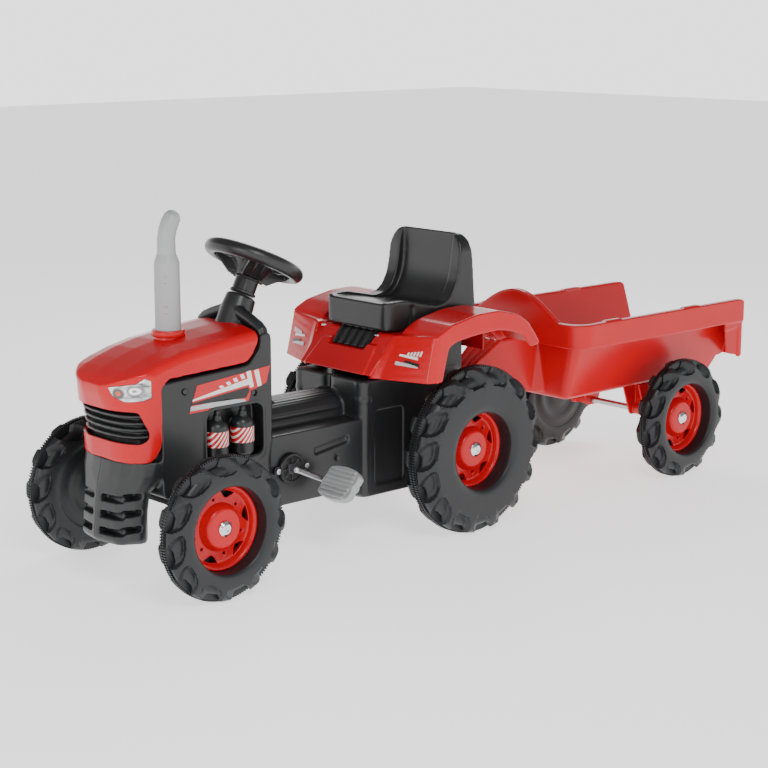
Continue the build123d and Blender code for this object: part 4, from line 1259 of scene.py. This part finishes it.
# ---- carried-over CAD pieces -------------------------------------------
def dress_cad():
    """Materials and small rounded edges for the metal and hidden pieces kept from the CAD."""
    looks = {
        "steering_shaft": STEEL, "knuckle_left": STEEL, "knuckle_right": STEEL, "tie_rod": STEEL,
        "front_axle_beam": PAINTED, "hitch_bracket": PAINTED, "hitch_pin": STEEL, "trailer_axle": STEEL,
        "rear_axle": STEEL, "rear_axle_bushes": BLACK, "steering_bush": BLACK, "crank_shaft": STEEL,
        "front_sprocket": CHAIN_STEEL, "rear_sprocket": CHAIN_STEEL, "chain": CHAIN_STEEL,
        "seat_bolts": STEEL, "deck_screws": STEEL, "body_screws": PAINTED, "crank_bearing_screws": STEEL,
    }
    for name, material in looks.items():
        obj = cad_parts[name]
        obj.data.materials.clear()
        obj.data.materials.append(material)
        soften_edges(obj, 0.5 if "screw" in name else 0.8)
        shade(obj)


# ---- scene --------------------------------------------------------------
def aim(obj, location, direction):
    """Places a lamp or the camera and turns it along a direction."""
    obj.location = location
    obj.rotation_mode = "QUATERNION"
    obj.rotation_quaternion = direction.to_track_quat("-Z", "Y")


def area_light(name, location, target, size, power):
    light = bpy.data.lights.new(name, "AREA")
    light.size = size
    light.energy = power
    aim(linked(name, light), location, Vector(target) - Vector(location))


def build_floor():
    """Wide pale floor that glows a little, like a lit studio sweep."""
    mesh = bpy.data.meshes.new("floor")
    mesh.from_pydata([(-12, -12, 0), (12, -12, 0), (12, 12, 0), (-12, 12, 0)], [], [(0, 1, 2, 3)])
    material, _, shader = new_material("floor_white")
    set_inputs(shader, {"Base Color": (0.93, 0.93, 0.93, 1), "Roughness": 0.7,
                        "Emission Color": (1, 1, 1, 1), "Emission Strength": 1.1})
    mesh.materials.append(material)
    linked("floor", mesh)


def build_world():
    """Soft studio light that is brightest near the horizon."""
    world = bpy.data.worlds.new("studio")
    world.use_nodes = True
    tree = world.node_tree
    background = tree.nodes["Background"]
    set_inputs(background, {"Color": (1, 1, 1, 1)})
    position = add_node(tree, "TexCoord")
    split = add_node(tree, "SeparateXYZ")
    tree.links.new(position.outputs["Generated"], split.inputs["Vector"])
    strength = mapped(tree, split.outputs["Z"], 2.2, 0.3, 0.06, 0.4)
    tree.links.new(strength, background.inputs["Strength"])
    bpy.context.scene.world = world


def build_camera():
    """Camera at the photograph's viewing angle; azimuth and fall are in radians."""
    lens = bpy.data.cameras.new("camera")
    lens.lens = 86.2
    lens.sensor_width = 36
    lens.clip_start = 0.1
    lens.clip_end = 50
    camera = linked("camera", lens)
    azimuth, fall = 0.738, 0.205
    forward = Vector((-cos(azimuth) * cos(fall), sin(azimuth) * cos(fall), -sin(fall)))
    aim(camera, (2.363, -2.250, 0.906), forward)
    bpy.context.scene.camera = camera


def build_stage():
    build_floor()
    build_world()
    area_light("key", (1.9, -1.2, 2.0), (0, -0.1, 0.2), 0.9, 26)
    area_light("fill", (0.6, -2.4, 1.0), (0, -0.3, 0.25), 0.7, 8)
    area_light("back", (-1.4, 1.4, 1.8), (0, 0, 0.3), 1.0, 16)
    build_camera()


build_stage()
build_wheels()
build_body()
build_cowl()
build_bonnet()
build_exhaust()
build_rear()
build_steering()
build_crank_bearings()
build_pedals()
build_trailer()
build_axle_brackets()
build_decals()
dress_cad()
